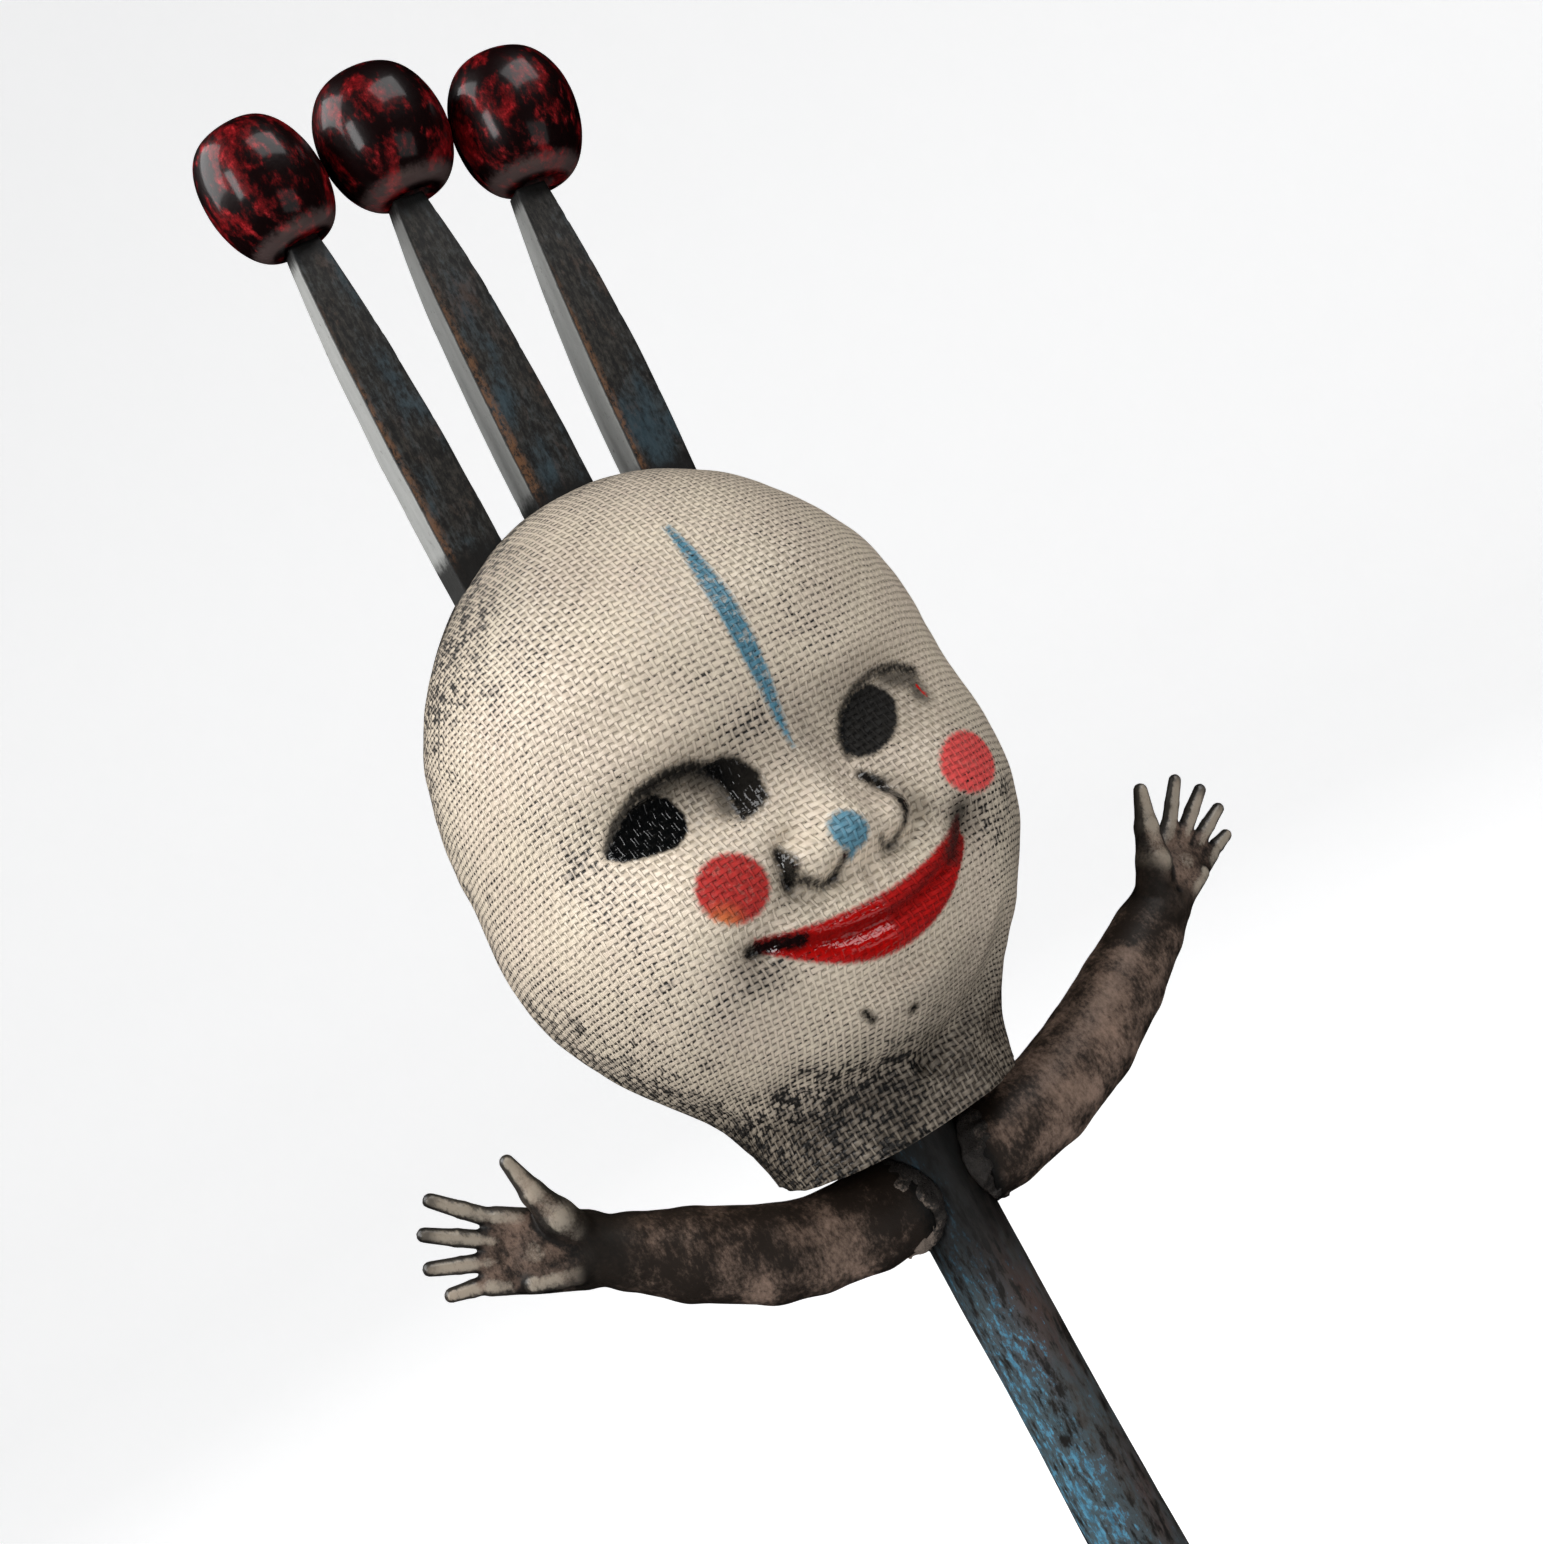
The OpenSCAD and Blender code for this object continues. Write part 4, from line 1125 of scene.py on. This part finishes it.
def arm_material():
    """Pinkish beige casting under soft brown-black washes that gather in the hollows and at the tips,
    painted shade on the arm's upper and lower sides and the hand's turned-away sides, and a painted
    highlight on the hand's raised parts.
    """
    paint = Paint("washed_casting")
    noise, step, mix = paint.brushes()
    broad, patches = noise(8.0, 3.0, 0.5, twist=0.3), noise(4.2, 3.0, 0.5)
    scratches, fine = noise(1.0, 5.0, 0.7, (1.6, 1.0, 0.8)), noise(0.45, 3.0, 0.7)
    pit, reach, along = paint.field("pit"), paint.field("reach"), paint.field("along")
    hand = step(reach, 2.0, 7.0)
    skin = mix(noise(9.0, 2.0), (0.31, 0.205, 0.155), (0.25, 0.170, 0.125))
    # Upper and lower sides of the arm: heavier washes, which are also painted shade.
    over = step(abs(paint.normal_axis(2)) + (patches - 0.5) * 0.8, 0.40, 1.05)
    wash_and_shade = broad * 1.05 + patches * 0.45 + (scratches - 0.5) * 0.95 + (fine - 0.5) * 0.35 + over * 0.16
    wash_and_shade = wash_and_shade + step(along, 0.45, 1.0) * (1.0 - hand) * 0.12 + step(along, 0.4, 0.0) * 0.18
    wash_and_shade = wash_and_shade + (step(paint.axis(paint.mm, 0), 5.0, -5.0) * 0.16 - 0.07) * (1.0 - hand)
    wrist = step(reach, -7.0, 0.0) * step(reach, 6.0, 2.0)
    wrist = wrist * step(patches * 0.6 + scratches * 0.8, 0.96, 0.58)
    pitted = pit + (fine - 0.5) * 0.5
    # Paler on the hand's raised parts, where the washes are worn off, and also a painted highlight.
    worn = step(pitted, -0.12, -0.6) * hand
    # Sides of the hand and fingers that turn away from the front: painted shade.
    outline = step(abs(paint.normal_axis(1)) + (scratches - 0.5) * 0.9, 0.96, 0.64) * hand
    colour = paint.layered(
        skin, (step(wash_and_shade, 0.38, 1.04) * 0.97, (0.015, 0.010, 0.007)), (wrist * 0.94, (0.010, 0.008, 0.006)),
        (worn * 0.7, (0.48, 0.41, 0.32)), (paint.high(step(pitted, 0.02, 0.5), outline) * 0.92, SOOT_AND_SHADE),
        (step(reach + (scratches - 0.5) * 3.0, 20.8, 23.2) * 0.7, SOOT_AND_SHADE),
        (step(along + (scratches - 0.5) * 0.12, 0.07, 0.015), SOOT_AND_SHADE))
    paint.relief(scratches * 0.5 + fine * 0.5, 0.12)
    return paint.surface(colour, scratches * 0.25 + 0.38 - worn * 0.16, worn * 0.45 + 0.24)


# ---------------------------------------------------------------- putty

PUTTY_HOLE_R = POLE_TOP_R + 0.15
PUTTY_LOBES = 40
# For each collar: the seed of its lumps, and how much its paint wears away from the pole.
COLLARS = {"left": (42, 1.0), "right": (41, 0.3)}


def build_collar(name, material):
    """Lumpy putty pressed round an arm's root and onto the pole."""
    seed, wear = COLLARS[name]
    rng = np.random.default_rng(seed)
    clay = Clay((0.0, -12.0, -10.0), (13.0, 12.0, 15.0), CLAY_STEP)
    for k in range(PUTTY_LOBES):
        a = 2.0 * math.pi * k / PUTTY_LOBES + rng.uniform(-0.06, 0.06)
        outer = math.sin(a) ** 2
        ring = 6.1 + rng.uniform(-0.15, 0.15)
        sunk, start = 5.0 + 1.0 * outer, 3.7 + 2.2 * outer
        reach = start + 2.4 + 1.4 * math.sin(3.0 * a + 1.0) + rng.uniform(-0.7, 0.7)
        inner, edge = ((x, r * math.cos(a), ROD_ABOVE_SHOULDER + r * math.sin(a))
                       for x, r in ((start, sunk), (reach, ring)))
        clay.add(inner, edge, 1.1 + rng.uniform(-0.1, 0.25), 0.72, 0.8)
    points, faces = clay.mesh()
    from_axis = np.hypot(points[:, 0], points[:, 1])
    points[:, 0] += np.maximum(0.0, PUTTY_HOLE_R - from_axis) * np.sign(points[:, 0])
    if name == "left":
        points, faces = to_left(points, faces)
    points = points + wobble(points, 1.5, 45)[:, None] * [0.0, 0.34, 0.34]
    away = (np.abs(points[:, 0]) - 4.2 - 1.6 * (points[:, 2] / 7.0) ** 2) * wear
    make_piece("putty_collar_" + name, "putty_" + name, material, points, faces, {"away": away})


def build_plug(material):
    """Putty plug in the hollow of the neck, round the pole."""
    low, high = box_mm("neck_putty")
    z = np.concatenate([[low[2]], np.linspace(low[2], high[2], 24), [high[2]]]) - SHOULDER_Z
    outer = np.interp(z, [z[0], z[-1]], [10.3, 16.8])
    outer[[0, -1]] = PUTTY_HOLE_R
    hole = [(PUTTY_HOLE_R, z[-1] - 4.0), (PUTTY_HOLE_R, z[0] + 4.0)]
    profile = np.vstack([np.column_stack([outer, z]), hole])
    bottom = profile[0] + (profile[1] - profile[0]) * np.linspace(0.0, 1.0, 9)[:-1, None]
    profile = np.vstack([bottom, profile[1:]])
    flat, cols = lathe(profile, 4.0)
    free = smooth_step(PUTTY_HOLE_R + 0.2, PUTTY_HOLE_R + 2.0, np.hypot(flat[:, 0], flat[:, 1]))
    flat = flat + (wobble(flat, 4.0, 61) * free)[:, None] * [0.25, 0.25, 0.45]
    faces = ring_faces(len(profile), cols, closed=True)
    make_piece("putty_plug", "neck_putty", material, flat, faces, {})


def putty_material():
    paint = Paint("painted_putty")
    noise, step, mix = paint.brushes()
    lumps, fine = noise(1.6, 4.0, 0.65), noise(0.4, 3.0, 0.7)
    colour = mix(lumps, (0.010, 0.009, 0.008), (0.045, 0.036, 0.030))
    worn = paint.field("away") * 0.10 + fine * 0.5 + lumps * 0.6
    colour = mix(step(worn, 0.62, 0.84) * 0.85, colour, (0.22, 0.17, 0.135))
    paint.relief(lumps * 0.6 + fine * 0.4, 0.5)
    return paint.surface(colour, fine * 0.3 + 0.4)


# ---------------------------------------------------------------- CAD pieces that stay as they are

def hidden_wood_material():
    paint = Paint("bare_softwood")
    rings = paint.noise(1.4, 4.0, 0.6, (1.0, 0.35, 0.12))
    fine = paint.noise(0.3, 2.0, 0.6, (1.0, 1.0, 0.2))
    paint.relief(rings * 0.5 + fine * 0.5, 0.15)
    return paint.surface(paint.mix(rings, (0.52, 0.36, 0.20), (0.68, 0.52, 0.33)), fine * 0.2 + 0.55)


def steel_material():
    paint = Paint("plain_steel")
    drawn = paint.noise(0.25, 3.0, 0.6, (0.1, 1.0, 1.0))
    paint.relief(drawn, 0.02)
    colour = paint.mix(drawn, (0.42, 0.42, 0.43), (0.58, 0.58, 0.59))
    return paint.surface(colour, drawn * 0.2 + 0.25, metal=1.0)


def glue_material():
    paint = Paint("black_glue")
    lumps = paint.noise(0.8, 3.0, 0.6)
    paint.relief(lumps, 0.15)
    return paint.surface(paint.mix(lumps, (0.008, 0.007, 0.007), (0.03, 0.025, 0.022)), lumps * 0.2 + 0.3)


def dress_cad_nodes(materials):
    for node, material in materials.items():
        for slot in bpy.data.objects[node].material_slots:
            slot.link = "OBJECT"
            slot.material = material


# ---------------------------------------------------------------- studio

PHOTO_WIDTH, SENSOR = 1543.0, 36.0
VIEW_AZIMUTH, VIEW_ROLL = math.radians(-22.0), math.radians(28.8)
VIEW_DISTANCE, FOCAL_PIXELS = 243.0, 1700.0
AIM_RIGHT, AIM_UP = 7.24, 64.4
FLOOR_RINGS = np.array([(0.0001, 0.0), (0.3, 0.0), (0.7, 0.0), (1.0, 0.0), (1.25, 0.03), (1.45, 0.13),
                        (1.58, 0.30), (1.63, 0.6), (1.65, 1.4)])
# Name, place from the aim (rightwards, upwards and backwards from it in the view), size and power.
LIGHTS = [("key", (-0.62, 0.16, 0.12), (0.45, 0.55), 3.9),
          ("window", (-0.46, -0.02, 0.50), (0.14, 0.34), 1.5),
          ("top", (0.1, 0.6, 0.30), (0.5, 0.3), 2.0),
          ("fill", (0.55, -0.1, 0.6), (0.5, 0.5), 0.8)]


def build_camera():
    """The photo's camera; gives its right, up and backward directions and the point it looks at."""
    right = Vector((math.cos(VIEW_AZIMUTH), math.sin(VIEW_AZIMUTH), 0.0))
    back = Vector((math.sin(VIEW_AZIMUTH), -math.cos(VIEW_AZIMUTH), 0.0))
    up = Vector((0.0, 0.0, 1.0))
    aim = (right * AIM_RIGHT + up * (AIM_UP + SHOULDER_Z)) * MM
    cam_up = up * math.cos(VIEW_ROLL) + right * math.sin(VIEW_ROLL)
    cam_right = right * math.cos(VIEW_ROLL) - up * math.sin(VIEW_ROLL)
    data = bpy.data.cameras.new("camera")
    data.sensor_width = SENSOR
    data.lens = SENSOR * FOCAL_PIXELS / PHOTO_WIDTH
    data.clip_start = 0.005
    camera = bpy.data.objects.new("camera", data)
    place = Matrix((cam_right, cam_up, back)).transposed().to_4x4()
    place.translation = aim + back * VIEW_DISTANCE * MM
    camera.matrix_world = place
    bpy.context.scene.collection.objects.link(camera)
    bpy.context.scene.camera = camera
    return cam_right, cam_up, back, aim


def soft_light(name, place, aim, size, power):
    data = bpy.data.lights.new(name, "AREA")
    data.shape = "RECTANGLE"
    data.size, data.size_y = size
    data.energy = power
    light = bpy.data.objects.new(name, data)
    light.location = place
    light.rotation_euler = (aim - place).to_track_quat("-Z", "Y").to_euler()
    bpy.context.scene.collection.objects.link(light)


def build_floor():
    """Pale floor that curves up into a backdrop all round, kept out of the figure's reflections."""
    points, cols = lathe(FLOOR_RINGS, 7.5)
    mesh = bpy.data.meshes.new("studio_floor")
    mesh.from_pydata(points.tolist(), [], grid_faces(len(FLOOR_RINGS), cols, around=True, flip=True))
    mesh.shade_smooth()
    floor = bpy.data.objects.new("studio_floor", mesh)
    bpy.context.scene.collection.objects.link(floor)
    paint = Paint("pale_floor")
    seen_by_camera = Value(paint, paint.node("LightPath").outputs["Is Camera Ray"])
    paint.feed(paint.shader.inputs["Emission Color"], (1.0, 1.0, 1.0))
    paint.feed(paint.shader.inputs["Emission Strength"], seen_by_camera * 0.62)
    grey = paint.mix(paint.noise(40.0, 2.0), (0.84, 0.84, 0.84), (0.87, 0.87, 0.87))
    mesh.materials.append(paint.surface(grey, 0.8))
    floor.visible_glossy = False


def build_studio():
    cam_right, cam_up, back, aim = build_camera()
    build_floor()
    for name, (right, up, backward), size, power in LIGHTS:
        soft_light(name, aim + cam_right * right + cam_up * up + back * backward, aim, size, power)
    world = bpy.data.worlds.new("studio")
    world.use_nodes = True
    background = world.node_tree.nodes["Background"].inputs
    background["Color"].default_value = (0.95, 0.97, 1.0, 1.0)
    background["Strength"].default_value = 0.22
    world.cycles_visibility.glossy = False
    bpy.context.scene.world = world
    bpy.context.scene.view_settings.view_transform = "Standard"


# ---------------------------------------------------------------- the figure

build_mask()
build_back()
tine_paint, bead_glaze = tine_material(), bead_material()
for order, (tine_name, one_tine) in enumerate(TINES.items()):
    build_tine(tine_name, one_tine, 11 + order, tine_paint)
    build_bead(tine_name, one_tine, 15 + order, bead_glaze)
build_pole(pole_material())
casting, putty = arm_material(), putty_material()
for arm_name in ARMS:
    build_arm(arm_name, casting)
for collar_name in COLLARS:
    build_collar(collar_name, putty)
build_plug(putty)
steel = steel_material()
dress_cad_nodes({"head_core": hidden_wood_material(), "core_screw": steel, "arm_rod": steel,
                 "bead_glue": glue_material()})
build_studio()
